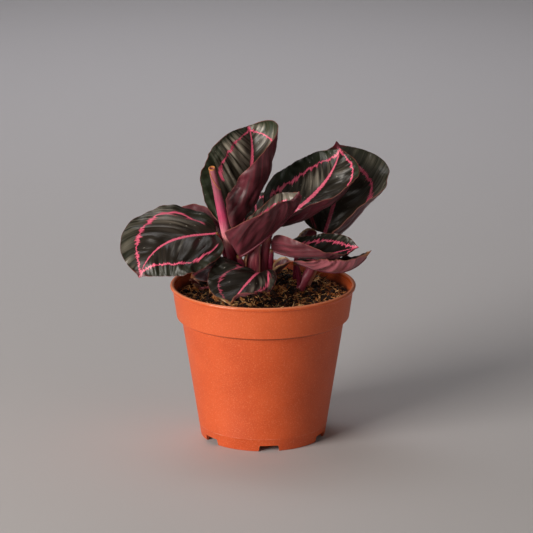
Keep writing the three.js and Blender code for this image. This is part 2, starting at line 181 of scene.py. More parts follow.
def leafTopMaterial():
    # A calathea's upper face: waxy, almost black green, with painted highlights along its folded veins and
    # a painted sheen.
    # The pink marks are strokes along the veins, each about 1 mm wide, that begin and end unevenly.
    look = leafTopLook
    material, tree = newMaterial("calatheaWaxyLeafTop")
    place, gaps, tone, more, hue = [addNode(tree, "Attribute", output="Vector", attribute_name=layer)
                                    for layer in leafLayers]
    veinAt, ribGap, half = addNode(tree, "SeparateXYZ", {0: place}).node.outputs
    bandGap, edgeGap, lengthShare = addNode(tree, "SeparateXYZ", {0: gaps}).node.outputs
    _, bandStrength, dryness = addNode(tree, "SeparateXYZ", {0: tone}).node.outputs
    paintedHighlight, stripeStrength, redness = addNode(tree, "SeparateXYZ", {0: more}).node.outputs
    greenness, paintedSheen, warmth = addNode(tree, "SeparateXYZ", {0: hue}).node.outputs
    # streaks that follow the veins: fine ones 1 mm apart, plain ones 3 mm, broad ones 9 mm
    finePlace = addNode(tree, "VectorMath", {0: place, 1: (1, 0.05, 1)}, operation="MULTIPLY")
    fine = addNode(tree, "TexNoise", {"Vector": finePlace, "Scale": 1, "Detail": 2, "Roughness": 0.6})
    plainPlace = addNode(tree, "VectorMath", {0: place, 1: (0.28, 0.035, 1)}, operation="MULTIPLY")
    plain = addNode(tree, "TexNoise", {"Vector": plainPlace, "Scale": 1, "Detail": 2, "Roughness": 0.5})
    broadPlace = addNode(tree, "VectorMath", {0: place, 1: (0.11, 0.03, 1)}, operation="MULTIPLY")
    broad = addNode(tree, "TexNoise", {"Vector": broadPlace, "Scale": 1, "Detail": 1})
    # the strokes: each cell of the vein line has its own reach to either side of the band
    seeded = addNode(tree, "Math", {0: half, 1: 37.7, 2: veinAt}, operation="MULTIPLY_ADD")
    cell = addNode(tree, "TexVoronoi", {"W": seeded, "Scale": 1.05}, output="Color",
                   voronoi_dimensions="1D")
    cellGap = cell.node.outputs["Distance"]
    randomIn, randomOut, randomRib = addNode(tree, "SeparateColor", {0: cell}).node.outputs
    taper = addNode(tree, "MapRange", {"Value": cellGap, "From Min": 0.1, "From Max": 0.6,
                                       "To Min": 1, "To Max": 0.35})
    lively = addNode(tree, "MapRange", {"Value": plain, "From Min": 0.35, "From Max": 0.65,
                                        "To Min": 0.5, "To Max": 3})
    reach = addNode(tree, "Math", {0: taper, 1: lively}, operation="MULTIPLY")
    least = addNode(tree, "Math", {0: bandStrength, 1: 0.24}, operation="MULTIPLY")
    reachIn = addNode(tree, "Math", {0: randomIn, 1: reach, 2: least}, operation="MULTIPLY_ADD")
    reachOut = addNode(tree, "Math", {0: randomOut, 1: reach, 2: least}, operation="MULTIPLY_ADD")
    drift = addNode(tree, "MapRange", {"Value": plain, "From Min": 0.3, "From Max": 0.7,
                                       "To Min": -0.9, "To Max": 0.9})
    drifted = addNode(tree, "Math", {0: bandGap, 1: drift}, operation="ADD")
    pastInner = addNode(tree, "Math", {0: drifted, 1: reachIn}, operation="ADD")
    pastOuter = addNode(tree, "Math", {0: reachOut, 1: drifted}, operation="SUBTRACT")
    inBand = addNode(tree, "Math", {0: pastInner, 1: pastOuter}, operation="MINIMUM")
    ribHalf = addNode(tree, "MapRange", {"Value": lengthShare, "From Min": 0.45, "From Max": 0.97,
                                         "To Min": 0.85, "To Max": 0.25}, interpolation_type="SMOOTHSTEP")
    ribWide = addNode(tree, "Math", {0: ribHalf, 1: stripeStrength}, operation="MULTIPLY")
    ribReach = addNode(tree, "Math", {0: randomRib, 1: 0.35, 2: ribWide}, operation="MULTIPLY_ADD")
    inRib = addNode(tree, "Math", {0: ribReach, 1: ribGap}, operation="SUBTRACT")
    bandShare = addNode(tree, "MapRange", {"Value": inBand, "From Min": -0.1, "From Max": 0.15})
    bandPart = addNode(tree, "Math", {0: bandShare, 1: bandStrength}, operation="MULTIPLY")
    ribShare = addNode(tree, "MapRange", {"Value": inRib, "From Min": -0.05, "From Max": 0.25})
    ribFade = addNode(tree, "MapRange", {"Value": lengthShare, "From Min": 0.92, "From Max": 0.96,
                                         "To Min": 1, "To Max": 0})
    ribStrength = addNode(tree, "Math", {0: ribFade, 1: stripeStrength}, operation="MULTIPLY")
    ribPart = addNode(tree, "Math", {0: ribShare, 1: ribStrength}, operation="MULTIPLY")
    pinkShare = addNode(tree, "Math", {0: bandPart, 1: ribPart}, operation="MAXIMUM")
    inside = addNode(tree, "Math", {0: inBand, 1: inRib}, operation="MAXIMUM")
    # the ground: charcoal and brown inside the band, greener outside it
    brownShare = addNode(tree, "Math", {0: broad, 1: warmth}, operation="MULTIPLY")
    outside = addNode(tree, "MapRange", {"Value": bandGap, "From Min": 0, "From Max": 5,
                                         "To Min": 0.1, "To Max": 0.9})
    greenShare = addNode(tree, "Math", {0: outside, 1: greenness}, operation="MULTIPLY")
    # painted highlights: pale streaks along the folded veins where reflected light would lie, strongest at
    # each half's listed places, over an even painted sheen
    bothStreaks = addNode(tree, "Math", {0: fine, 1: 0.3, 2: plain}, operation="MULTIPLY_ADD")
    risen = addNode(tree, "Math", {0: paintedHighlight, 1: 0.13, 2: bothStreaks}, operation="MULTIPLY_ADD")
    streakShare = addNode(tree, "MapRange", {"Value": risen, "From Min": 0.61, "From Max": 0.84,
                                             "To Min": 0, "To Max": 1})
    paintedHighlightMost = addNode(tree, "Math", {0: paintedHighlight, 1: 0.75, 2: 0.01}, operation="MULTIPLY_ADD")
    paintedHighlightShare = addNode(tree, "Math", {0: streakShare, 1: paintedHighlightMost, 2: paintedSheen}, operation="MULTIPLY_ADD",
                        use_clamp=True)
    speckCell = addNode(tree, "TexVoronoi", {"Vector": place, "Scale": 0.22})
    speckShare = addNode(tree, "MapRange", {"Value": speckCell, "From Min": 0.09, "From Max": 0.05,
                                            "To Min": 0, "To Max": 0.5})
    # pink, deeper at the ends of the strokes
    pinkTone = addNode(tree, "MapRange", {"Value": fine, "From Min": 0.38, "From Max": 0.6})
    pink = addNode(tree, "Mix", {0: pinkTone, 6: look["rose"], 7: look["pink"]}, 2, data_type="RGBA")
    deepShare = addNode(tree, "MapRange", {"Value": inside, "From Min": 0.3, "From Max": 0,
                                           "To Min": 0, "To Max": 0.75})
    deepPink = addNode(tree, "Mix", {0: deepShare, 6: pink, 7: look["crimson"]}, 2, data_type="RGBA")
    atEdge = addNode(tree, "MapRange", {"Value": edgeGap, "From Min": 0.45, "From Max": 0.15})
    colour = addNode(tree, "Mix", {0: brownShare, 6: look["dark"], 7: look["brown"]}, 2, data_type="RGBA")
    for amount, over in ((greenShare, look["green"]), (paintedHighlightShare, look["pale"]),
                         (speckShare, look["speck"]), (pinkShare, deepPink), (atEdge, look["margin"]),
                         (redness, look["red"]), (dryness, look["dry"])):
        colour = addNode(tree, "Mix", {0: amount, 6: colour, 7: over}, 2, data_type="RGBA")
    waxy = addNode(tree, "MapRange", {"Value": plain, "From Min": 0.35, "From Max": 0.65,
                                      "To Min": 0.42, "To Max": 0.27})
    rough = addNode(tree, "Math", {0: paintedHighlight, 1: -0.08, 2: waxy}, operation="MULTIPLY_ADD")
    relief = addNode(tree, "Math", {0: plain, 1: 3, 2: fine}, operation="MULTIPLY_ADD")
    bump = addNode(tree, "Bump", {"Height": relief, "Strength": 0.45, "Distance": 0.0003})
    finishMaterial(tree, {"Base Color": colour, "Roughness": rough, "IOR": 1.45, "Normal": bump})
    return material


leafUnderLook = {
    # dark: painted shade, for a blade that lies in shadow
    "dark": "#120508", "deep": "#1F060B", "wine": "#571621", "mauve": "#803644", "dusty": "#A86069",
    "rib": "#6E2434", "margin": "#8A4A42", "dryMargin": "#B0906A", "dry": "#A8703E",
}


def leafUnderMaterial():
    # The underside: thin-skinned wine red, satin, with soft stripes where the veins lie.
    look = leafUnderLook
    material, tree = newMaterial("calatheaSatinLeafUnderside")
    place, gaps, tone, more = [addNode(tree, "Attribute", output="Vector", attribute_name=layer)
                               for layer in leafLayers[:4]]
    ribGap = addNode(tree, "SeparateXYZ", {0: place}, 1)
    edgeGap = addNode(tree, "SeparateXYZ", {0: gaps}, 1)
    dusty, _, dryness = addNode(tree, "SeparateXYZ", {0: tone}).node.outputs
    stripeStrength = addNode(tree, "SeparateXYZ", {0: more}, 1)
    stripePlace = addNode(tree, "VectorMath", {0: place, 1: (0.5, 0.05, 1)}, operation="MULTIPLY")
    stripe = addNode(tree, "TexNoise", {"Vector": stripePlace, "Scale": 1, "Detail": 3, "Roughness": 0.6})
    patchPlace = addNode(tree, "VectorMath", {0: place, 1: (0.09, 0.07, 1)}, operation="MULTIPLY")
    patch = addNode(tree, "TexNoise", {"Vector": patchPlace, "Scale": 1, "Detail": 3})
    stripeShare = addNode(tree, "MapRange", {"Value": stripe, "From Min": 0.35, "From Max": 0.68})
    patchShare = addNode(tree, "MapRange", {"Value": patch, "From Min": 0.46, "From Max": 0.68,
                                            "To Min": 0, "To Max": 0.6})
    dustShare = addNode(tree, "Math", {0: dusty, 1: 0.75}, operation="MULTIPLY")
    # below 0 the dustiness darkens the blade towards dark: painted shade for a blade in shadow
    darkShare = addNode(tree, "Math", {0: dusty, 1: -1}, operation="MULTIPLY", use_clamp=True)
    atRib = addNode(tree, "MapRange", {"Value": ribGap, "From Min": 1.4, "From Max": 0.6})
    # a blade without a stripe has a broad dry margin
    plainBlade = addNode(tree, "MapRange", {"Value": stripeStrength, "From Min": 0.1, "From Max": 0})
    broader = addNode(tree, "Math", {0: plainBlade, 1: 1.3, 2: 0.5}, operation="MULTIPLY_ADD")
    atEdge = addNode(tree, "MapRange", {"Value": edgeGap, "From Min": broader, "From Max": 0.15})
    marginTone = addNode(tree, "Mix", {0: plainBlade, 6: look["margin"], 7: look["dryMargin"]}, 2,
                         data_type="RGBA")
    colour = addNode(tree, "Mix", {0: stripeShare, 6: look["deep"], 7: look["wine"]}, 2, data_type="RGBA")
    for amount, over in ((patchShare, look["mauve"]), (dustShare, look["dusty"]),
                         (darkShare, look["dark"]), (atRib, look["rib"]), (atEdge, marginTone),
                         (dryness, look["dry"])):
        colour = addNode(tree, "Mix", {0: amount, 6: colour, 7: over}, 2, data_type="RGBA")
    bump = addNode(tree, "Bump", {"Height": stripe, "Strength": 0.5, "Distance": 0.0004})
    finishMaterial(tree, {"Base Color": colour, "Roughness": 0.4, "IOR": 1.45, "Normal": bump,
                          "Sheen Weight": 0.1, "Sheen Roughness": 0.4})
    return material


marginLook = {"dark": "#5A2A28", "light": "#8E5A44"}


def marginMaterial():
    # The cut edge of a blade: dry, pinkish brown.
    look = marginLook
    material, tree = newMaterial("calatheaLeafMargin")
    where = addNode(tree, "TexCoord", output="Object")
    patch = addNode(tree, "TexNoise", {"Vector": where, "Scale": 180, "Detail": 2})
    colour = addNode(tree, "Mix", {0: patch, 6: look["dark"], 7: look["light"]}, 2, data_type="RGBA")
    finishMaterial(tree, {"Base Color": colour, "Roughness": 0.55})
    return material


stemLook = {
    "deep": "#3E101C", "wine": "#742438", "crimsonDeep": "#7A1230", "crimson": "#B4345A",
    "rose": "#A8475C", "brown": "#6B3A26", "joint": "#9C7B3E",
}


def stemMaterial():
    # A petiole: fleshy and satin, wine red to crimson with darker fibres, brown at the soil.
    look = stemLook
    material, tree = newMaterial("calatheaFleshyStem")
    place = addNode(tree, "Attribute", output="Vector", attribute_name="stemPlace")
    crimsonness = addNode(tree, "Attribute", output="Fac", attribute_name="stemTone")
    share = addNode(tree, "SeparateXYZ", {0: place}, 2)
    fibrePlace = addNode(tree, "VectorMath", {0: place, 1: (1.6, 0.07, 0)}, operation="MULTIPLY")
    fibre = addNode(tree, "TexNoise", {"Vector": fibrePlace, "Scale": 1, "Detail": 3, "Roughness": 0.6})
    where = addNode(tree, "TexCoord", output="Object")
    fleck = addNode(tree, "TexNoise", {"Vector": where, "Scale": 900, "Detail": 2})
    fibreShare = addNode(tree, "MapRange", {"Value": fibre, "From Min": 0.32, "From Max": 0.66})
    wine = addNode(tree, "Mix", {0: fibreShare, 6: look["deep"], 7: look["wine"]}, 2, data_type="RGBA")
    bright = addNode(tree, "Mix", {0: fibreShare, 6: look["crimsonDeep"], 7: look["crimson"]}, 2,
                     data_type="RGBA")
    fleckShare = addNode(tree, "MapRange", {"Value": fleck, "From Min": 0.58, "From Max": 0.75,
                                            "To Min": 0, "To Max": 0.5})
    atFoot = addNode(tree, "MapRange", {"Value": share, "From Min": 0.3, "From Max": 0.1,
                                        "To Min": 0, "To Max": 0.5})
    atJoint = addNode(tree, "MapRange", {"Value": share, "From Min": 0.93, "From Max": 1,
                                         "To Min": 0, "To Max": 0.8})
    colour = addNode(tree, "Mix", {0: crimsonness, 6: wine, 7: bright}, 2, data_type="RGBA")
    for amount, over in ((fleckShare, "rose"), (atFoot, "brown"), (atJoint, "joint")):
        colour = addNode(tree, "Mix", {0: amount, 6: colour, 7: look[over]}, 2, data_type="RGBA")
    bump = addNode(tree, "Bump", {"Height": fibre, "Strength": 0.4, "Distance": 0.0002})
    finishMaterial(tree, {"Base Color": colour, "Roughness": 0.36, "IOR": 1.4, "Normal": bump,
                          "Subsurface Weight": 0.08, "Subsurface Radius": (0.003, 0.0012, 0.001)})
    return material


rollLook = {
    "stops": [(0.0, "#3E101C"), (0.34, "#6E1430"), (0.42, "#B0364F"), (0.5, "#E09490"),
              (0.6, "#DC7C90"), (0.68, "#D44872"), (0.78, "#BC5070"), (0.88, "#A45A68"), (1.0, "#AE6870")],
    "side": "#84304C", "rim": "#C88444",
}


def rollMaterial():
    # The rolled young leaf shows its underside: pink, satin, with the veins as thin lines.
    look = rollLook
    material, tree = newMaterial("calatheaYoungRolledLeaf")
    place = addNode(tree, "Attribute", output="Vector", attribute_name="stemPlace")
    share = addNode(tree, "SeparateXYZ", {0: place}, 2)
    rimGap = addNode(tree, "Attribute", output="Fac", attribute_name="stemTone")
    ramp = addNode(tree, "ValToRGB", {0: share})
    setStops(ramp, look["stops"])
    linePlace = addNode(tree, "VectorMath", {0: place, 1: (0.9, 0.12, 0)}, operation="MULTIPLY")
    line = addNode(tree, "TexNoise", {"Vector": linePlace, "Scale": 1, "Detail": 3})
    lineShare = addNode(tree, "MapRange", {"Value": line, "From Min": 0.4, "From Max": 0.7,
                                           "To Min": 0, "To Max": 0.5})
    shaded = addNode(tree, "Mix", {0: lineShare, 6: ramp, 7: look["side"]}, 2, data_type="RGBA")
    atRim = addNode(tree, "MapRange", {"Value": rimGap, "From Min": 1, "From Max": 0.5})
    rimmed = addNode(tree, "Mix", {0: atRim, 6: shaded, 7: look["rim"]}, 2, data_type="RGBA")
    bump = addNode(tree, "Bump", {"Height": line, "Strength": 0.4, "Distance": 0.0002})
    finishMaterial(tree, {"Base Color": rimmed, "Roughness": 0.4, "IOR": 1.42, "Normal": bump,
                          "Subsurface Weight": 0.08, "Subsurface Radius": (0.003, 0.0012, 0.001)})
    return material


potLook = {
    # collar: painted light on the collar. rim: a painted highlight along the lip.
    "orange": "#D65A28", "deep": "#C64D1D", "collar": "#E0703C", "rim": "#F0A078",
    # groove: painted shade under the collar.
    "scuff": "#E9A98A", "speck": "#E88A60", "groove": "#5E2410", "dirt": "#4A2415",
    "lineZ": 8.4, "lineHalf": 0.22, "stainTop": (91.5, 97),
}


def potMaterial():
    # Injection moulded polypropylene: satin orange, finely grained, a little scuffed near the foot
    # and stained by soil on the inside. The collar carries painted light, the lip a painted highlight
    # and the groove under the collar painted shade.
    look = potLook
    material, tree = newMaterial("mouldedOrangePolypropylene")
    where = addNode(tree, "TexCoord", output="Object")
    z = addNode(tree, "SeparateXYZ", {0: where}, 2)
    cloud = addNode(tree, "TexNoise", {"Vector": where, "Scale": 45, "Detail": 3})
    # the mould's grain is about 0.15 mm and drawn at 0.7 mm to show
    grain = addNode(tree, "TexNoise", {"Vector": where, "Scale": 1400, "Detail": 2, "Roughness": 0.7})
    mixture = addNode(tree, "Math", {0: cloud, 1: grain}, operation="ADD")
    share = addNode(tree, "MapRange", {"Value": mixture, "From Min": 0.75, "From Max": 1.25})
    # painted light: the collar is painted a little lighter than the wall under it
    collarLightShare = addNode(tree, "MapRange", {"Value": z, "From Min": (pot["collarLowZ"] - 0.8) * toMetres,
                                          "From Max": pot["collarLowZ"] * toMetres,
                                          "To Min": 0, "To Max": 0.2})
    # a painted highlight along the top of the lip
    rimHighlightShare = addNode(tree, "MapRange", {"Value": z, "From Min": (pot["height"] - 1.1) * toMetres,
                                       "From Max": (pot["height"] - 0.4) * toMetres,
                                       "To Min": 0, "To Max": 0.55})
    # the witness line of the mould, rubbed pale in places
    lineOff = addNode(tree, "Math", {0: z, 1: look["lineZ"] * toMetres}, operation="SUBTRACT")
    lineGap = addNode(tree, "Math", {0: lineOff}, operation="ABSOLUTE")
    onLine = addNode(tree, "MapRange", {"Value": lineGap, "From Min": look["lineHalf"] * toMetres,
                                        "From Max": 0.4 * look["lineHalf"] * toMetres})
    wear = addNode(tree, "TexNoise", {"Vector": where, "Scale": 120, "Detail": 3})
    wearShare = addNode(tree, "MapRange", {"Value": wear, "From Min": 0.42, "From Max": 0.66,
                                           "To Min": 0, "To Max": 0.5})
    rubbed = addNode(tree, "Math", {0: onLine, 1: wearShare}, operation="MULTIPLY")
    # painted shade: a dark band under the collar, where its shadow falls
    grooveOff = addNode(tree, "Math", {0: z, 1: (pot["shoulderZ"] + 0.2) * toMetres}, operation="SUBTRACT")
    grooveGap = addNode(tree, "Math", {0: grooveOff}, operation="ABSOLUTE")
    grooveShadeShare = addNode(tree, "MapRange", {"Value": grooveGap, "From Min": 0.0011, "From Max": 0.0003,
                                          "To Min": 0, "To Max": 0.6})
    # the grain's crests have rubbed pale
    crests = addNode(tree, "TexNoise", {"Vector": where, "Scale": 1300, "Detail": 1})
    speckle = addNode(tree, "MapRange", {"Value": crests, "From Min": 0.54, "From Max": 0.72,
                                         "To Min": 0, "To Max": 0.36})
    # soil has stained the inner wall just over it. Halfway through the sloped collar's wall is the
    # limit between inside and outside.
    flat = addNode(tree, "VectorMath", {0: where, 1: (1, 1, 0)}, operation="MULTIPLY")
    outward = addNode(tree, "VectorMath", {0: flat}, "Value", operation="LENGTH")
    lipLow = pot["height"] - pot["lipHeight"]
    slope = (pot["collarTop"] - pot["collarLow"]) / (lipLow - pot["collarLowZ"])
    middle = (pot["collarLow"] - pot["wall"] / 2 - slope * pot["collarLowZ"]) * toMetres
    limit = addNode(tree, "Math", {0: z, 1: slope, 2: middle}, operation="MULTIPLY_ADD")
    inward = addNode(tree, "Math", {0: limit, 1: outward}, operation="SUBTRACT")
    above = addNode(tree, "Math", {0: z, 1: (pot["collarLowZ"] + 0.2) * toMetres}, operation="SUBTRACT")
    both = addNode(tree, "Math", {0: inward, 1: above}, operation="MINIMUM")
    inside = addNode(tree, "MapRange", {"Value": both, "From Min": -0.0001, "From Max": 0.0002})
    low, high = look["stainTop"]
    stainTop = addNode(tree, "MapRange", {"Value": wear, "To Min": low * toMetres,
                                          "To Max": high * toMetres})
    underStain = addNode(tree, "Math", {0: stainTop, 1: z}, operation="SUBTRACT")
    stained = addNode(tree, "MapRange", {"Value": underStain, "From Min": -0.001, "From Max": 0.0015,
                                         "To Min": 0.1, "To Max": 0.8})
    dirtShare = addNode(tree, "Math", {0: inside, 1: stained}, operation="MULTIPLY")
    colour = addNode(tree, "Mix", {0: share, 6: look["deep"], 7: look["orange"]}, 2, data_type="RGBA")
    for amount, over in ((collarLightShare, "collar"), (rimHighlightShare, "rim"), (grooveShadeShare, "groove"), (speckle, "speck"),
                         (rubbed, "scuff"), (dirtShare, "dirt")):
        colour = addNode(tree, "Mix", {0: amount, 6: colour, 7: look[over]}, 2, data_type="RGBA")
    satin = addNode(tree, "MapRange", {"Value": grain, "From Min": 0.3, "From Max": 0.7,
                                       "To Min": 0.42, "To Max": 0.56})
    onLip = addNode(tree, "MapRange", {"Value": z, "From Min": (lipLow - 0.6) * toMetres,
                                       "From Max": (lipLow + 0.2) * toMetres,
                                       "To Min": 1, "To Max": 0.45})
    rough = addNode(tree, "Math", {0: satin, 1: onLip}, operation="MULTIPLY")
    bump = addNode(tree, "Bump", {"Height": grain, "Strength": 0.25, "Distance": 0.00008})
    finishMaterial(tree, {"Base Color": colour, "Roughness": rough, "IOR": 1.49, "Normal": bump,
                          "Subsurface Weight": 0.05, "Subsurface Radius": (0.004, 0.0015, 0.0008)})
    return material


soilLook = {
    "stops": [(0.0, "#080402"), (0.25, "#261208"), (0.5, "#80451E"), (0.75, "#D8904C"), (1.0, "#FFD596")],
}


def soilMaterial():
    # Peat and coir: matt crumbs and fibres, from near black where damp to dry tan.
    material, tree = newMaterial("peatAndCoir")
    where = addNode(tree, "TexCoord", output="Object")
    tint = addNode(tree, "Attribute", output="Fac", attribute_name="crumbTint")
    patch = addNode(tree, "TexNoise", {"Vector": where, "Scale": 420, "Detail": 4, "Roughness": 0.7})
    patchShare = addNode(tree, "MapRange", {"Value": patch, "From Min": 0.3, "From Max": 0.7,
                                            "To Min": -0.22, "To Max": 0.22})
    total = addNode(tree, "Math", {0: tint, 1: patchShare}, operation="ADD")
    ramp = addNode(tree, "ValToRGB", {0: total})
    setStops(ramp, soilLook["stops"])
    bump = addNode(tree, "Bump", {"Height": patch, "Strength": 0.8, "Distance": 0.0006})
    finishMaterial(tree, {"Base Color": ramp, "Roughness": 0.8, "Normal": bump})
    return material


sheathLook = {"wine": "#641D2C", "crimson": "#A03450", "rose": "#BC5F6E", "papery": "#B57F52",
              "pale": "#D2A290"}


def sheathMaterial():
    # The dry sheath at the foot of a petiole: papery tan at its edges, wine red where it is fresh.
    look = sheathLook
    material, tree = newMaterial("calatheaDrySheath")
    place = addNode(tree, "Attribute", output="Vector", attribute_name="stemPlace")
    tone = addNode(tree, "Attribute", output="Fac", attribute_name="stemTone")
    share = addNode(tree, "SeparateXYZ", {0: place}, 2)
    fibrePlace = addNode(tree, "VectorMath", {0: place, 1: (1.4, 0.1, 0)}, operation="MULTIPLY")
    fibre = addNode(tree, "TexNoise", {"Vector": fibrePlace, "Scale": 1, "Detail": 3})
    fibreShare = addNode(tree, "MapRange", {"Value": fibre, "From Min": 0.35, "From Max": 0.65,
                                            "To Min": -0.25, "To Max": 0.25})
    dryShare = addNode(tree, "Math", {0: tone, 1: fibreShare}, operation="ADD", use_clamp=True)
    roseShare = addNode(tree, "Math", {0: tone, 1: -1}, operation="MULTIPLY", use_clamp=True)
    redShare = addNode(tree, "MapRange", {"Value": fibre, "From Min": 0.35, "From Max": 0.65})
    red = addNode(tree, "Mix", {0: redShare, 6: look["wine"], 7: look["crimson"]}, 2, data_type="RGBA")
    fresh = addNode(tree, "Mix", {0: roseShare, 6: red, 7: look["rose"]}, 2, data_type="RGBA")
    dry = addNode(tree, "Mix", {0: share, 6: look["pale"], 7: look["papery"]}, 2, data_type="RGBA")
    colour = addNode(tree, "Mix", {0: dryShare, 6: fresh, 7: dry}, 2, data_type="RGBA")
    bump = addNode(tree, "Bump", {"Height": fibre, "Strength": 0.5, "Distance": 0.0002})
    finishMaterial(tree, {"Base Color": colour, "Roughness": 0.42, "Normal": bump})
    return material
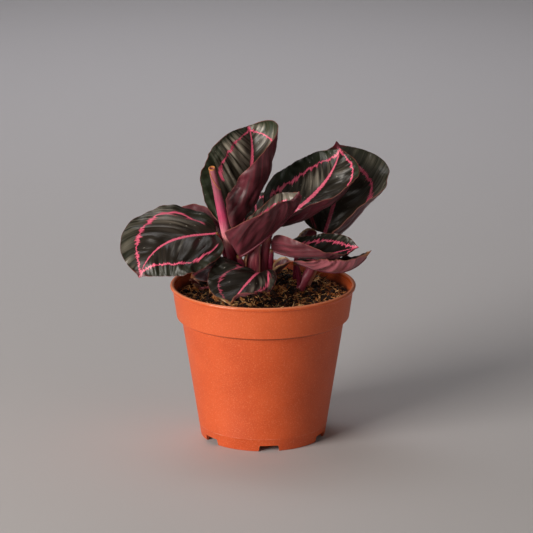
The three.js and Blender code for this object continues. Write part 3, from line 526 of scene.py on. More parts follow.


# ribs, halves, roots and necks are those of the part. rib: four points that the midrib runs
# through. face: the way the upper surface looks. width, lobe, lift and curl: each half's form.
# band: how far out the pink band runs, as a share of the half's width, at five equal steps along
# shown: where it starts and ends along the rib, and how strong it is, with wider strokes above 1.
# pale: places along and across where painted highlights lie on the streaks, and how strong. root, neck and
# stem:
# where the stem stands and bends, then its radii at foot and neck and how crimson it is. look: drip
# tip in mm, dustiness of the underside (below 0: how much painted shade darkens it), dry tip, red tip,
# strength of the midrib's stripe, then how green the blade is outside its band, how much painted sheen lies
# all over it and how brown
# its ground. wine: both faces are wine red.
plainBand = {"band": (0.5, 0.64, 0.66, 0.5, 0.05), "shown": (0.12, 1, 1), "pale": [(0.6, 0.4, 0.4)]}
noBand = {"band": (0.5, 0.6, 0.6, 0.5, 0.3), "shown": (2, 3, 0), "pale": []}
leaves = {
    "tall": {
        "rib": [(-19, 2.5, 134.5), (-10.5, 13, 156.5), (-7, 15, 181.5), (-9.5, 20, 199.5)],
        "face": (-0.15, -1, 0.2), "widest": 0.53, "wave": (1.2, 3, 0.5),
        "right": {"width": 41, "lobe": -6, "lift": (135, 100, 10), "curl": (175, 220, 30),
                  "band": (0.55, 0.62, 0.6, 0.42, 0), "shown": (0.3, 0.97, 2),
                  "pale": [(0.86, 0.3, 0.7), (0.93, 0.6, 0.3)]},
        "left": {"width": 33.5, "lobe": 4, "lift": (15, 30, 50), "curl": (30, 0, 15),
                 "band": (0.56, 0.65, 0.55, 0.43, 0), "shown": (0.42, 0.97, 2),
                 "pale": [(0.7, 0.4, 1.2), (0.82, 0.6, 0.9), (0.52, 0.35, 0.6)]},
        "root": (-11, 6), "neck": (-19, 3, 118), "stem": (2.4, 1.6, 0.2),
        "look": {"drip": 0.5, "dusty": 0.1, "dry": 0, "red": 0, "stripe": 1.35,
                 "green": 1, "paintedSheen": 0.02, "warm": 0.9},
    },
    "left": {
        "rib": [(-30.5, -7.5, 135.5), (-46.5, -12, 135), (-64.5, -20, 130.5), (-78, -28, 113)],
        "face": (-0.15, -0.65, 0.75), "widest": 0.54, "wave": (1.2, 3, 0),
        "right": {"width": 29, "lobe": 8, "lift": (-10, 0, 15), "curl": (-30, -10, 5),
                  "band": (0.45, 0.75, 0.75, 0.53, 0.05), "shown": (0.15, 1, 1),
                  "pale": [(0.5, 0.85, 0.5), (0.72, 0.95, 0.3), (0.4, 0.45, 0.3), (0.93, 0.7, 0.35)]},
        "left": {"width": 29.5, "lobe": 15, "lift": (20, 0, 0), "curl": (-15, -20, -5),
                 "band": (0.62, 0.7, 0.72, 0.52, 0.03), "shown": (0.1, 1, 1),
                 "pale": [(0.8, 0.8, 0.1), (0.5, 0.3, 0.15)]},
        "root": (-20, -1), "neck": (-24, -5, 128), "stem": (2.3, 1.5, 0.4),
        "look": {"drip": 1.2, "dusty": 0.2, "dry": 0, "red": 0.5, "stripe": 1,
                 "green": 0.35, "paintedSheen": 0, "warm": 0.75},
    },
    "left_back": {
        "rib": [(-20, 15, 120), (-32, 22, 127), (-45, 30, 129), (-58, 38, 123)],
        "face": (0.2, 0.8, 0.55), "widest": 0.5, "wave": (1, 3, 1),
        "right": {"width": 20, "lobe": 3, "lift": (25, 15, 5), "curl": (20, 20, 10), **plainBand},
        "left": {"width": 20, "lobe": 3, "lift": (25, 15, 5), "curl": (20, 20, 10), **plainBand},
        "root": (-12, 16), "neck": (-13, 11, 112), "stem": (2.2, 1.4, 0.1),
        "look": {"drip": 1, "dusty": 0.35, "dry": 0, "red": 0, "stripe": 1,
                 "green": 0.5, "paintedSheen": 0, "warm": 0.6},
    },
    "centre": {
        "rib": [(-15.5, -13, 123), (-4.5, -16.5, 130), (16, -16, 148.5), (23, -17.5, 165)],
        "face": (-0.55, -0.2, 0.8), "widest": 0.44, "wave": (0.8, 3, 0),
        "right": {"width": 22.5, "lobe": 3, "lift": (115, 65, 55), "curl": (50, 40, 25), **plainBand},
        "left": {"width": 18.5, "lobe": 0, "lift": (80, 90, 25), "curl": (50, 25, 15),
                 "band": (0.82, 0.77, 0.74, 0.66, 0.5), "shown": (0.4, 0.78, 1),
                 "pale": [(0.6, 0.8, 0.5), (0.8, 0.6, 0.5), (0.4, 0.6, 0.4)]},
        "root": (-5, -7), "neck": (-13, -11, 111), "stem": (2.2, 1.4, 0.5),
        "look": {"drip": 0.6, "dusty": 0.1, "dry": 0, "red": 0.3, "stripe": 1,
                 "green": 0.1, "paintedSheen": 0.24, "warm": 0.5},
    },
    "right": {
        "rib": [(7.5, 12, 137.5), (24.5, 10, 149.5), (40.5, 13, 165.5), (49.5, 16, 185.5)],
        "face": (-0.1, -0.95, 0.15), "widest": 0.47, "wave": (1, 3, 0),
        "right": {"width": 30, "lobe": 3, "lift": (95, 75, 5), "curl": (70, 140, 35),
                  "band": (0.6, 0.64, 0.62, 0.45, 0.03), "shown": (0.73, 1, 1.7),
                  "pale": [(0.8, 0.25, 0.3)]},
        "left": {"width": 28, "lobe": 3, "lift": (25, -25, -25), "curl": (10, 15, 0),
                 "band": (0.75, 0.63, 0.61, 0.49, 0), "shown": (0.14, 1, 1.7),
                 "pale": [(0.6, 0.3, 0.7), (0.86, 0.25, 0.35)]},
        "root": (0, 4), "neck": (-2, 10, 122), "stem": (3.2, 1.6, 0.15),
        "look": {"drip": 0.6, "dusty": 0, "dry": 0, "red": 0, "stripe": 1.25,
                 "green": 0.8, "paintedSheen": 0, "warm": 0.6},
    },
    "right_back": {
        "rib": [(40.5, 27.5, 127), (46.5, 28, 148), (49, 33, 163), (48, 37, 184)],
        "face": (-0.05, -0.9, 0.35), "widest": 0.46, "wave": (1.2, 3, 1),
        "right": {"width": 42, "lobe": 8, "lift": (90, 40, -30), "curl": (140, 115, 0),
                  "band": (0.68, 0.6, 0.55, 0.36, 0.05), "shown": (0.3, 1, 2.6),
                  "pale": [(0.82, 0.75, 0.4), (0.6, 0.85, 0.5)]},
        "left": {"width": 26, "lobe": 2, "lift": (5, 0, 0), "curl": (5, 0, 0),
                 "band": (0.6, 0.72, 0.66, 0.5, 0.1), "shown": (0.02, 0.95, 0.45),
                 "pale": [(0.2, 0.5, 0.3)]},
        "root": (25, 4), "neck": (38, 26, 117), "stem": (3.1, 1.6, 0.9),
        "look": {"drip": 2.2, "dusty": 0.1, "dry": 0, "red": 1, "stripe": 1.3,
                 "green": 0.6, "paintedSheen": 0.03, "warm": 1.2},
    },
    "low_upper": {
        "rib": [(5.5, -3.5, 124.5), (24.5, -9.5, 121), (42.5, -9, 122.5), (60.5, -11.5, 127.5)],
        "face": (0.05, -0.15, 1), "widest": 0.49, "wave": (0.8, 3, 0),
        "right": {"width": 21.5, "lobe": 6, "lift": (90, 40, 5), "curl": (60, 105, 20), **plainBand},
        "left": {"width": 15.5, "lobe": 0.5, "lift": (35, 40, 50), "curl": (20, 25, 10),
                 "band": (0.62, 0.71, 0.65, 0.44, 0.06), "shown": (0.32, 1, 1),
                 "pale": [(0.85, 0.8, 0.3)]},
        "root": (6, -2), "neck": (4, -4, 112), "stem": (2, 1.4, 0.3),
        "look": {"drip": 0.6, "dusty": 0.25, "dry": 0, "red": 0, "stripe": 1,
                 "green": 0.3, "paintedSheen": 0, "warm": 0.25},
    },
    "low_lower": {
        "rib": [(20.5, -6, 116.5), (35, -11, 113), (52, -15.5, 113), (68, -22.5, 127.5)],
        "face": (-0.05, -0.15, 1), "widest": 0.56, "wave": (0.8, 3, 0),
        "right": {"width": 18, "lobe": 0, "lift": (25, 50, 30), "curl": (40, 50, 15), **plainBand},
        "left": {"width": 15, "lobe": 1.5, "lift": (10, 15, 10), "curl": (20, 15, 10), **plainBand},
        # its stem is kept dark wine (0.1 crimson): painted shade, where it stands in shadow
        "root": (24, -1.6), "neck": (23.5, -3, 109), "stem": (1.8, 1.3, 0.1),
        "look": {"drip": 1.5, "dusty": 1, "dry": 1, "red": 0, "stripe": 0.6,
                 "green": 0.4, "paintedSheen": 0, "warm": 0.5},
    },
    "front": {
        "rib": [(-2, -20, 112.5), (-5.5, -31, 114), (-13, -40.5, 108), (-20.5, -51.5, 101)],
        "face": (-0.1, -0.4, 0.9), "widest": 0.52, "wave": (1, 3, 0),
        "right": {"width": 26, "lobe": 4, "lift": (15, 15, 10), "curl": (20, -5, 5),
                  "band": (0.5, 0.51, 0.6, 0.62, 0.4), "shown": (0.25, 0.97, 0.45),
                  "pale": [(0.4, 0.6, 0.2)]},
        "left": {"width": 16.5, "lobe": 0.5, "lift": (20, 0, 75), "curl": (5, 5, 60),
                 "band": (0.5, 0.6, 0.68, 0.8, 1), "shown": (0.08, 0.72, 0.85),
                 "pale": [(0.35, 0.5, 0.5), (0.6, 0.6, 0.45)]},
        "root": (-1, -4), "neck": (-2, -15, 108), "stem": (1.9, 1.3, 0.5),
        "look": {"drip": 0.4, "dusty": 0.8, "dry": 0.8, "red": 0, "stripe": 0.95,
                 "green": 0.1, "paintedSheen": 0, "warm": 0.35},
    },
    # a small low blade by the soil: wine red on both faces and darkened with painted shade (dusty below 0)
    "under_left": {
        "rib": [(-20, 9, 105), (-28, 8, 109), (-37, 5, 109), (-46, 3, 104)],
        "face": (0, -0.5, 1), "widest": 0.5, "wave": (0.8, 3, 0),
        "right": {"width": 10, "lobe": 1, "lift": (10, 5, 0), "curl": (10, 10, 10), **noBand},
        "left": {"width": 13, "lobe": 2, "lift": (10, 5, 0), "curl": (10, 10, 10), **noBand},
        "root": (-20, 9), "neck": (-17, 9, 101), "stem": (1.9, 1.2, 0.3),
        "look": {"drip": 1, "dusty": -0.8, "dry": 0.8, "red": 0, "stripe": 0.3,
                 "green": 0, "paintedSheen": 0, "warm": 0.3, "wine": True},
    },
    "back": {
        "rib": [(-3, 16, 122), (-4, 23, 136), (-5, 33, 144.5), (-7, 46, 148.5)],
        "face": (0, -0.6, 0.8), "widest": 0.5, "wave": (1, 3, 0),
        "right": {"width": 13, "lobe": 1, "lift": (35, 30, 20), "curl": (20, 20, 10), **plainBand},
        "left": {"width": 16, "lobe": 2, "lift": (20, 20, 10), "curl": (10, 10, 10), **plainBand},
        "root": (-1, 13), "neck": (-2, 12, 112), "stem": (2.2, 1.4, 0.1),
        "look": {"drip": 1, "dusty": 0.2, "dry": 0, "red": 0, "stripe": 1,
                 "green": 0.5, "paintedSheen": 0, "warm": 0.6},
    },
    # its dusty below 0 darkens it with painted shade
    "bract": {
        "rib": [(8, -8, 109), (11, -10, 112), (14.5, -12, 115.5), (17.5, -14, 119)],
        "face": (-0.7, -0.2, 0.7), "widest": 0.5, "wave": (0.3, 2, 0),
        "right": {"width": 7, "lobe": 0, "lift": (60, 55, 40), "curl": (60, 50, 20), **noBand},
        "left": {"width": 7, "lobe": 0, "lift": (60, 55, 40), "curl": (60, 50, 20), **noBand},
        "root": (3, -9), "neck": (5, -8, 105), "stem": (1.7, 1.3, 0.3),
        "look": {"drip": 0.3, "dusty": -0.3, "dry": 0.6, "red": 0, "stripe": 0,
                 "green": 0, "paintedSheen": 0, "warm": 0.3, "wine": True},
    },
    "right_inner": {
        "rib": [(22, 12, 116), (26, 13, 123), (30, 14, 128), (34.5, 15, 131)],
        "face": (0.3, 0.9, 0.3), "widest": 0.55, "wave": (0.3, 2, 0),
        "right": {"width": 6, "lobe": 1, "lift": (20, 20, 10), "curl": (60, 60, 20), **noBand},
        "left": {"width": 7, "lobe": 1, "lift": (20, 20, 10), "curl": (60, 60, 20), **noBand},
        "root": (21, 15), "neck": (21, 13.5, 110), "stem": (1.8, 1.2, 0.3),
        "look": {"drip": 0.3, "dusty": 0, "dry": 0, "red": 0, "stripe": 0,
                 "green": 0.2, "paintedSheen": 0, "warm": 0.3},
    },
}

blade = {
    "alongSteps": 150, "acrossSteps": 64,
    "thickness": 0.4,
    "roundEnd": 0.44, "tipPoint": 0.4, "tipShort": 16, "leftPhase": 2,  # the outline's powers
    # the fold of each lateral vein, broader swells along the veins, and small uneven waves at the
    # margin. A drift is how far they wander, in waves.
    "pleatEvery": 6.5, "pleatHeight": 0.24, "pleatDrift": 0.9,
    "creaseEvery": 16, "creaseHeight": 0.75, "creaseDrift": 0.7,
    "frillWaves": 9, "frillHeight": 0.4, "frillDrift": 1.3,
    "rippleEvery": 7, "rippleHeight": 0.45,       # small steps in the margin's own line
    "veinSlope": 0.85, "veinBend": 0.5,           # how far a vein runs forward on its way out
    "dripWidth": 1.6,
    "smallWidth": 15, "smallSwell": 0.6, "smallSteps": 0.5,    # halves under 15 mm swell less
    # the size of a place with painted highlights, along and across
    "highlightLong": 0.13, "highlightWide": 0.28,           # the size of a pale place
    "ribRadius": (0.85, 0.3), "ribSteps": 70,     # the raised midrib beneath, at base and tip
    "ribEnd": 0.95, "ribSink": 0.8, "slimUnder": 20,
}


def outlineShare(u, widest):  # half of the blade's width at u, as a share of its widest
    s = u ** (math.log(0.5) / math.log(widest)) if u > 0 else 0
    return max(0, 4 * s * (1 - s)) ** (blade["roundEnd"] + blade["tipPoint"] * u ** blade["tipShort"])


def bladeRow(leaf, ribLine, u):  # what every point at u shares
    along = alongBezier(ribLine, u)
    up = Vector(leaf["face"])
    up = (up - along * up.dot(along)).normalized()
    return {"rib": onBezier(ribLine, u), "along": along, "up": up, "across": along.cross(up),
            "share": outlineShare(u, leaf["widest"])}


def isSmall(leaf):
    return leaf["left"]["width"] < blade["smallWidth"] and leaf["right"]["width"] < blade["smallWidth"]


# Swells of the blade at one point, in millimetres along its own normal: waves of the margin,
# folds of the veins and broader creases.
def bladeSwell(leaf, u, v, veinAt, ribGap, share, index):
    height, count, phase = leaf["wave"]
    edgeTurn = 2 * math.pi * count * u + phase + (blade["leftPhase"] if v < 0 else 0)
    drift = noise.noise(Vector((0.05 * veinAt, 0.08 * ribGap, 7.3 * index + (3 if v < 0 else 0))))
    pleatTurn = 2 * math.pi * (veinAt / blade["pleatEvery"] + blade["pleatDrift"] * drift)
    creaseTurn = 2 * math.pi * (veinAt / blade["creaseEvery"] + blade["creaseDrift"] * drift) + index
    frillTurn = 2 * math.pi * (blade["frillWaves"] * u + blade["frillDrift"] * drift) + index
    fromRib = smoothStep(ribGap, 0.5, 6) * (1 - 0.8 * abs(v) ** 4)
    swell = blade["pleatHeight"] * math.sin(pleatTurn) + blade["creaseHeight"] * math.sin(creaseTurn)
    swell *= fromRib
    swell += blade["frillHeight"] * share * abs(v) ** 5 * math.sin(frillTurn)
    if isSmall(leaf):
        swell *= blade["smallSwell"]
    return height * share * v * v * math.sin(edgeTurn) + swell


# how strong the painted highlights are at one point of a half, from 0 to 1
def paintedHighlightAt(side, u, v):
    total = 0
    for along, across, strength in side["pale"]:
        gap = ((u - along) / blade["highlightLong"]) ** 2 + ((abs(v) - across) / blade["highlightWide"]) ** 2
        total += strength * math.exp(-gap)
    return min(1, total)


def buildBlade(name, leaf, index):
    ribLine = cubicHandles([Vector(p) for p in leaf["rib"]])
    points = [onBezier(ribLine, i / 20) for i in range(21)]
    length = sum((b - a).length for a, b in zip(points, points[1:]))
    coarser = blade["smallSteps"] if isSmall(leaf) else 1
    build = bmesh.new()
    bmesh.ops.create_grid(build, x_segments=int(blade["alongSteps"] * coarser),
                          y_segments=int(blade["acrossSteps"] * coarser), size=1)
    layers = [build.verts.layers.float_vector.new(layer) for layer in leafLayers]
    look = leaf["look"]
    tip, tipWay = onBezier(ribLine, 1), alongBezier(ribLine, 1)
    rows = {}
    for vert in build.verts:
        u = 0.5 - 0.5 * math.cos(math.pi * (vert.co.x + 1) / 2)
        v = vert.co.y
        key = round(vert.co.x, 5)
        if key not in rows:
            rows[key] = bladeRow(leaf, ribLine, u)
        row = rows[key]
        side = leaf["left" if v < 0 else "right"]
        across = -row["across"] if v < 0 else row["across"]
        share = row["share"]
        lift = math.radians(blend(side["lift"], u))
        curl = math.radians(blend(side["curl"], u))
        curl = curl if abs(curl) > 1e-5 else 1e-5    # the arc is never quite flat
        start = lift - curl / 2      # an arc from the midrib to the margin
        turn = start + curl * abs(v)
        seed = Vector((u * length / blade["rippleEvery"], 5 * index + (2 if v < 0 else 0), 0.5))
        wide = side["width"] * share + blade["rippleHeight"] * noise.noise(seed) * min(1, 4 * share)
        radius = wide / curl
        out = radius * (math.sin(turn) - math.sin(start))
        rise = -radius * (math.cos(turn) - math.cos(start))
        # distances on the blade, in millimetres
        ribGap = abs(v) * wide
        veinAt = u * length - blade["veinSlope"] * ribGap - blade["veinBend"] * ribGap ** 2 / side["width"]
        swell = bladeSwell(leaf, u, v, veinAt, ribGap, share, index)
        point = (row["rib"] + across * (out - swell * math.sin(turn))
                 + row["up"] * (rise + swell * math.cos(turn)))
        point -= row["along"] * side["lobe"] * (1 - u) ** 3 * share * abs(v)
        point += tipWay * look["drip"] * math.exp(-((point - tip).length / blade["dripWidth"]) ** 2)
        first, last, most = side["shown"]
        bandAt = through(side["band"], (u - first) / (last - first))
        strength = most * smoothStep(u, first - 0.02, first + 0.04)
        strength *= 1 - smoothStep(u, last - 0.01, last + 0.03)
        vert.co = point * toMetres
        vert[layers[0]] = (veinAt, ribGap, 11 * index + (5 if v < 0 else 0))
        vert[layers[1]] = ((abs(v) - bandAt) * wide, (1 - abs(v)) * wide, u)
        vert[layers[2]] = (look["dusty"], strength, look["dry"] * smoothStep(u, 0.93, 0.99))
        vert[layers[3]] = (paintedHighlightAt(side, u, v), look["stripe"], look["red"] * smoothStep(u, 0.965, 0.985))
        vert[layers[4]] = (look["green"], look["paintedSheen"], look["warm"])
    bmesh.ops.remove_doubles(build, verts=build.verts, dist=1e-6)
    bmesh.ops.reverse_faces(build, faces=build.faces)
    top = leafUnder if "wine" in look else leafTop
    piece = newPiece("blade_" + name, build, ["leaf_" + name], [top, leafUnder, leafMargin])
    applyModifier(piece, "SOLIDIFY", thickness=blade["thickness"] * toMetres, offset=0,
                  material_offset=1, material_offset_rim=2)
    addMidrib(piece, leaf, ribLine, index)


def addMidrib(piece, leaf, ribLine, index):  # a tapering ridge under the blade, part of the same piece
    slim = min(1, leaf["right"]["width"] / blade["slimUnder"])
    build = bmesh.new()
    build.from_mesh(piece.data)
    ridge = bmesh.ops.create_grid(build, x_segments=blade["ribSteps"], y_segments=12, size=1)["verts"]
    layers = [build.verts.layers.float_vector[layer] for layer in leafLayers]
    for vert in ridge:
        u = blade["ribEnd"] * (vert.co.x + 1) / 2
        closed = vert.co.x < -0.999 or vert.co.x > 0.999
        row = bladeRow(leaf, ribLine, u)
        radius = slim * between(blade["ribRadius"], u)
        angle = math.pi * vert.co.y
        reach = 0 if closed else radius
        point = row["rib"] - row["up"] * (blade["ribSink"] * radius + 0.1)
        point += (row["across"] * math.sin(angle) + row["up"] * math.cos(angle)) * reach
        vert.co = point * toMetres
        vert[layers[0]] = (60 * u, 0.8 * abs(math.sin(angle / 2)), 11 * index + 3)
        vert[layers[1]] = (9, 9, u)
        vert[layers[2]] = (leaf["look"]["dusty"], 0, 0)
    faces = list({face for vert in ridge for face in vert.link_faces})
    for face in faces:
        face.material_index = 1
        face.smooth = True
    bmesh.ops.remove_doubles(build, verts=ridge, dist=1e-6)
    bmesh.ops.recalc_face_normals(build, faces=[face for face in faces if face.is_valid])
    build.to_mesh(piece.data)
    build.free()


stemForm = {
    "rootZ": 86, "end": 0.27, "alongSteps": 44, "roundSteps": 24,
    "groove": 0.16, "grooveWidth": 0.5,           # the channel along a petiole's front
    "jointLength": 0.16, "jointSwell": 0.22,      # the swollen joint under the blade
}


# A flat grid from -1 to 1 with the layers that the skins of stems, roll and sheaths read.
def startSheet(alongSteps, acrossSteps):
    build = bmesh.new()
    bmesh.ops.create_grid(build, x_segments=alongSteps, y_segments=acrossSteps, size=1)
    layers = build.verts.layers
    return build, layers.float_vector.new("stemPlace"), layers.float.new("stemTone")


def aroundLine(line, u, angle, radius):  # a point beside a line, with angle 0 at the front
    way = alongBezier(line, u)
    side = way.cross(Vector((0, 1, 0))).normalized()
    return onBezier(line, u) + (side * math.sin(angle) - side.cross(way) * math.cos(angle)) * radius


# A closed tube along a line, with rows that close to a point at both ends. radiusAt takes the
# share of the length and the angle.
def buildTube(name, line, radiusAt, length, tone, nodes):
    steps = stemForm["alongSteps"]
    build, placeLayer, toneLayer = startSheet(steps, stemForm["roundSteps"])
    for vert in build.verts:
        row = round((vert.co.x + 1) / 2 * steps)
        u = min(1, max(0, (row - 1) / (steps - 2)))
        angle = math.pi * vert.co.y
        radius = 0 if row in (0, steps) else radiusAt(u, angle)
        vert.co = aroundLine(line, u, angle, radius) * toMetres
        vert[placeLayer] = (3 * math.sin(angle / 2), u * length, u)
        vert[toneLayer] = tone
    bmesh.ops.remove_doubles(build, verts=build.verts, dist=1e-6)
    bmesh.ops.recalc_face_normals(build, faces=build.faces)
    return newPiece(name, build, nodes, [stemSkin])


def buildStem(name, leaf):
    base = Vector(leaf["rib"][0])
    root = Vector((*leaf["root"], stemForm["rootZ"]))
    neck = Vector(leaf["neck"])
    end = base - (base - neck).normalized() * stemForm["end"]
    rise = Vector((root.x, root.y, root.z + 0.5 * (neck.z - root.z)))
    low, high, tone = leaf["stem"]

    def radiusAt(u, angle):
        radius = high + (low - high) * (1 - u * u)
        swell = math.exp(-((u - 1 + stemForm["jointLength"]) / stemForm["jointLength"]) ** 2)
        groove = stemForm["groove"] * math.exp(-(angle / stemForm["grooveWidth"]) ** 2) * (1 - u)
        return radius * (1 + stemForm["jointSwell"] * swell * high / radius - groove)

    length = (root - rise).length + (rise - neck).length + (neck - end).length
    buildTube("petiole_" + name, (root, rise, neck, end), radiusAt, length, tone, ["stem_" + name])


roll = {
    "path": [(-13, -5, 86), (-20, -7, 118), (-25.5, -9.5, 146.5), (-32.5, -14, 181)],
    "radius": (2.4, 2.9, 3.3, 2.4), "length": 95, "around": 14,
    "turns": 1.4, "gap": 0.5, "thickness": 0.4,   # a sheet rolled up, with a gap between its turns
    "startTurn": -1.2, "flapEnd": 0.87,           # the outer flap starts at the front right and ends lower
    "alongSteps": 110, "roundSteps": 72,
}


def buildRoll():
    line = cubicHandles([Vector(p) for p in roll["path"]])
    build, placeLayer, toneLayer = startSheet(roll["alongSteps"], roll["roundSteps"])
    for vert in build.verts:
        turned = (vert.co.y + 1) / 2 * roll["turns"]       # how many times round
        end = roll["flapEnd"] + (1 - roll["flapEnd"]) * smoothStep(turned, 0, 0.5)
        u = (vert.co.x + 1) / 2 * end
        radius = through(roll["radius"], u) * (1 + 0.03 * noise.noise(Vector((8 * u, 2 * turned, 0.5))))
        reach = radius - roll["thickness"] / 2 - roll["gap"] * turned
        angle = 2 * math.pi * turned + roll["startTurn"]
        slant = 0.9 + 0.5 * math.cos(angle)                # the top edge isn't quite level
        point = aroundLine(line, u, angle, reach) - alongBezier(line, u) * slant * u ** 12
        vert.co = point * toMetres
        vert[placeLayer] = (turned * roll["around"], u * roll["length"], u)
        vert[toneLayer] = (end - u) * roll["length"]       # how far from the top edge
    bmesh.ops.reverse_faces(build, faces=build.faces)
    piece = newPiece("rolled_leaf", build, ["leaf_rolled"], [rollSkin])
    applyModifier(piece, "SOLIDIFY", thickness=roll["thickness"] * toMetres, offset=0)


# Sheaths and dry scraps at the feet of the petioles. line: four points. width: at both ends and
# between them. cup: how far it wraps round, in degrees. tone: below 0 rose, 0 wine red, 1 dry.
sheaths = {
    "middle_petiole": {"line": [(0.3, -5, 95), (0.2, -6, 108), (1.1, -6.5, 121), (4, -7.5, 133.4)],
                       "face": (0.1, -1, 0), "width": (8, 10, 8), "cup": 190, "tone": 0.0},
    "middle_bract": {"line": [(-5.5, -10, 95), (-6.8, -11.4, 108), (-6.6, -11.2, 121), (-3.4, -9.5, 134)],
                     "face": (-0.3, -1, 0), "width": (5, 11, 4), "cup": 120, "tone": 0.05},
    "middle_rim": {"line": [(-9, -9, 96), (-11.2, -10.8, 106.5), (-11.8, -11.4, 116.5), (-9, -10.5, 127)],
                   "face": (-0.5, -1, 0), "width": (2.4, 2.6, 0.8), "cup": 60, "tone": 0.8},
    "centre_foot": {"line": [(-9, -9.5, 92), (-10.5, -11.5, 98), (-11.5, -13, 104), (-12, -14, 109)],
                    "face": (0, -1, 0), "width": (4, 6, 1.5), "cup": 150, "tone": 0.1},
    "middle_pale": {"line": [(5, -3.6, 95), (5.4, -4.4, 99), (5, -5.2, 103), (4.6, -6.4, 107)],
                    "face": (0.3, -1, 0), "width": (2.5, 2.4, 0.5), "cup": 80, "tone": 1},
    "right_crimson": {"line": [(22.2, -4, 93.8), (25.1, -4.2, 101.3), (29, -3.5, 108.4), (32.9, 0, 114.8)],
                      "face": (-0.2, -1, 0.2), "width": (7, 8.4, 7), "cup": 170, "tone": -0.3},
    "right_tan": {"line": [(30, 1, 99), (31.4, 0.6, 103), (33.6, 1, 107.6), (36.5, 5, 112.1)],
                  "face": (0.6, -1, 0.1), "width": (2, 3, 2), "cup": 90, "tone": 0.8},
    "right_foot": {"line": [(18, -4, 95.2), (21, -6.5, 94.3), (25, -6.8, 94.3), (28.5, -4, 95.3)],
                   "face": (0, -0.7, 1), "width": (1, 2.2, 0.8), "cup": 90, "tone": 0.25},
    "left_crimson": {"line": [(-41, 15, 93), (-44, 14, 96.5), (-46, 11, 99), (-47, 8, 100.4)],
                     "face": (-0.2, -1, 0.6), "width": (2.4, 3.4, 1), "cup": 90, "tone": 0.05},
    "left_pale": {"line": [(-39, 10, 93.6), (-41.6, 8.5, 96), (-43.6, 6.4, 97.6), (-45, 3.6, 98.6)],
                  "face": (0, -1, 0.8), "width": (1.6, 2.8, 1), "cup": 80, "tone": 0.85},
    "left_dry": {"line": [(-42, 18, 95), (-44, 17, 99.5), (-43.5, 15, 103), (-42, 13.5, 104)],
                 "face": (0, -1, 0.4), "width": (2, 3, 0.6), "cup": 120, "tone": 1.1},
    "left_runner": {"line": [(-41, 6, 95.5), (-37, 4, 96.6), (-32, 3, 97), (-27, 4, 95.5)],
                    "face": (0, -1, 0.6), "width": (1.4, 1.7, 1.4), "cup": 200, "tone": 0.1},
}
sheathForm = {"alongSteps": 36, "acrossSteps": 12, "thickness": 0.35, "ragged": 0.08, "crumple": 0.25}


def buildSheath(name, sheath, index):
    line = cubicHandles([Vector(p) for p in sheath["line"]])
    length = sum((Vector(b) - Vector(a)).length for a, b in zip(sheath["line"], sheath["line"][1:]))
    cup = math.radians(sheath["cup"])
    build, placeLayer, toneLayer = startSheet(sheathForm["alongSteps"], sheathForm["acrossSteps"])
    for vert in build.verts:
        v = vert.co.y
        ragged = sheathForm["ragged"] * noise.noise(Vector((3 * v, index, 0.4)))
        u = (vert.co.x + 1) / 2 * (1 - 0.12 * v * v + ragged)
        way = alongBezier(line, u)
        up = Vector(sheath["face"])
        up = (up - way * up.dot(way)).normalized()
        side = way.cross(up)
        width = blend(sheath["width"], u) * (1 + 0.15 * noise.noise(Vector((4 * u, 2 * index, 1))))
        radius = width / cup
        point = onBezier(line, u) + side * radius * math.sin(cup * v / 2)
        crumple = sheathForm["crumple"] * noise.noise(Vector((5 * u, 3 * v, index)))
        point += up * (radius * (math.cos(cup * v / 2) - 1) + crumple)
        vert.co = point * toMetres
        vert[placeLayer] = (width * v, u * length, u)
        vert[toneLayer] = sheath["tone"] + 0.6 * smoothStep(abs(v), 0.75, 1) + 0.4 * smoothStep(u, 0.8, 1)
    bmesh.ops.reverse_faces(build, faces=build.faces)
    piece = newPiece("sheath_" + name, build, [], [sheathSkin])
    applyModifier(piece, "SOLIDIFY", thickness=sheathForm["thickness"] * toMetres, offset=0)


pot = {
    "height": 101, "lipRadius": 60, "lipHeight": 2.6,
    "collarTop": 58.5, "collarLow": 55.8, "collarLowZ": 79.8,
    "shoulderZ": 78.5, "shoulderRise": 0.8, "wallTop": 52.6, "base": 40.6, "wall": 1.3,
    "floorZ": 4.4, "floorThick": 1.4, "footWall": 1.8, "centreFoot": 7,
    "notches": 6, "notchTurn": 5.5, "notchWidth": 12, "notchHeight": 4, "notchFlare": 0.8,
    "notchCorner": 0.8, "sharpAngle": 32,
    "drainRadius": 3.5, "drainRing": 31,
    "steps": 192, "cornerSteps": 4,
}


# Each point is [radius, height, corner radius]. Corners become short quadratic curves.
def roundedOutline(points, steps):
    rounded = []
    for i, (r, z, corner) in enumerate(points):
        here = Vector((r, z))
        if corner == 0:
            rounded.append(here)
            continue
        before = Vector(points[i - 1][:2]) - here
        after = Vector(points[i + 1][:2]) - here
        first = here + before.normalized() * min(corner, 0.45 * before.length)
        last = here + after.normalized() * min(corner, 0.45 * after.length)
        for k in range(steps + 1):
            t = k / steps
            rounded.append(first * (1 - t) ** 2 + here * 2 * t * (1 - t) + last * t * t)
    return rounded


def spinOutline(points, steps):
    build = bmesh.new()
    verts = [build.verts.new((p.x * toMetres, 0, p.y * toMetres)) for p in points]
    edges = [build.edges.new(pair) for pair in zip(verts, verts[1:])]
    bmesh.ops.spin(build, geom=verts + edges, axis=(0, 0, 1), cent=(0, 0, 0), steps=steps,
                   angle=2 * math.pi, use_merge=True)
    bmesh.ops.remove_doubles(build, verts=build.verts, dist=1e-6)
    bmesh.ops.recalc_face_normals(build, faces=build.faces)
    return build


def wallAt(z):
    return pot["base"] + (pot["wallTop"] - pot["base"]) * z / pot["shoulderZ"]


def collarAt(z):
    lipLow = pot["height"] - pot["lipHeight"]
    share = (z - pot["collarLowZ"]) / (lipLow - pot["collarLowZ"])
    return pot["collarLow"] + (pot["collarTop"] - pot["collarLow"]) * share


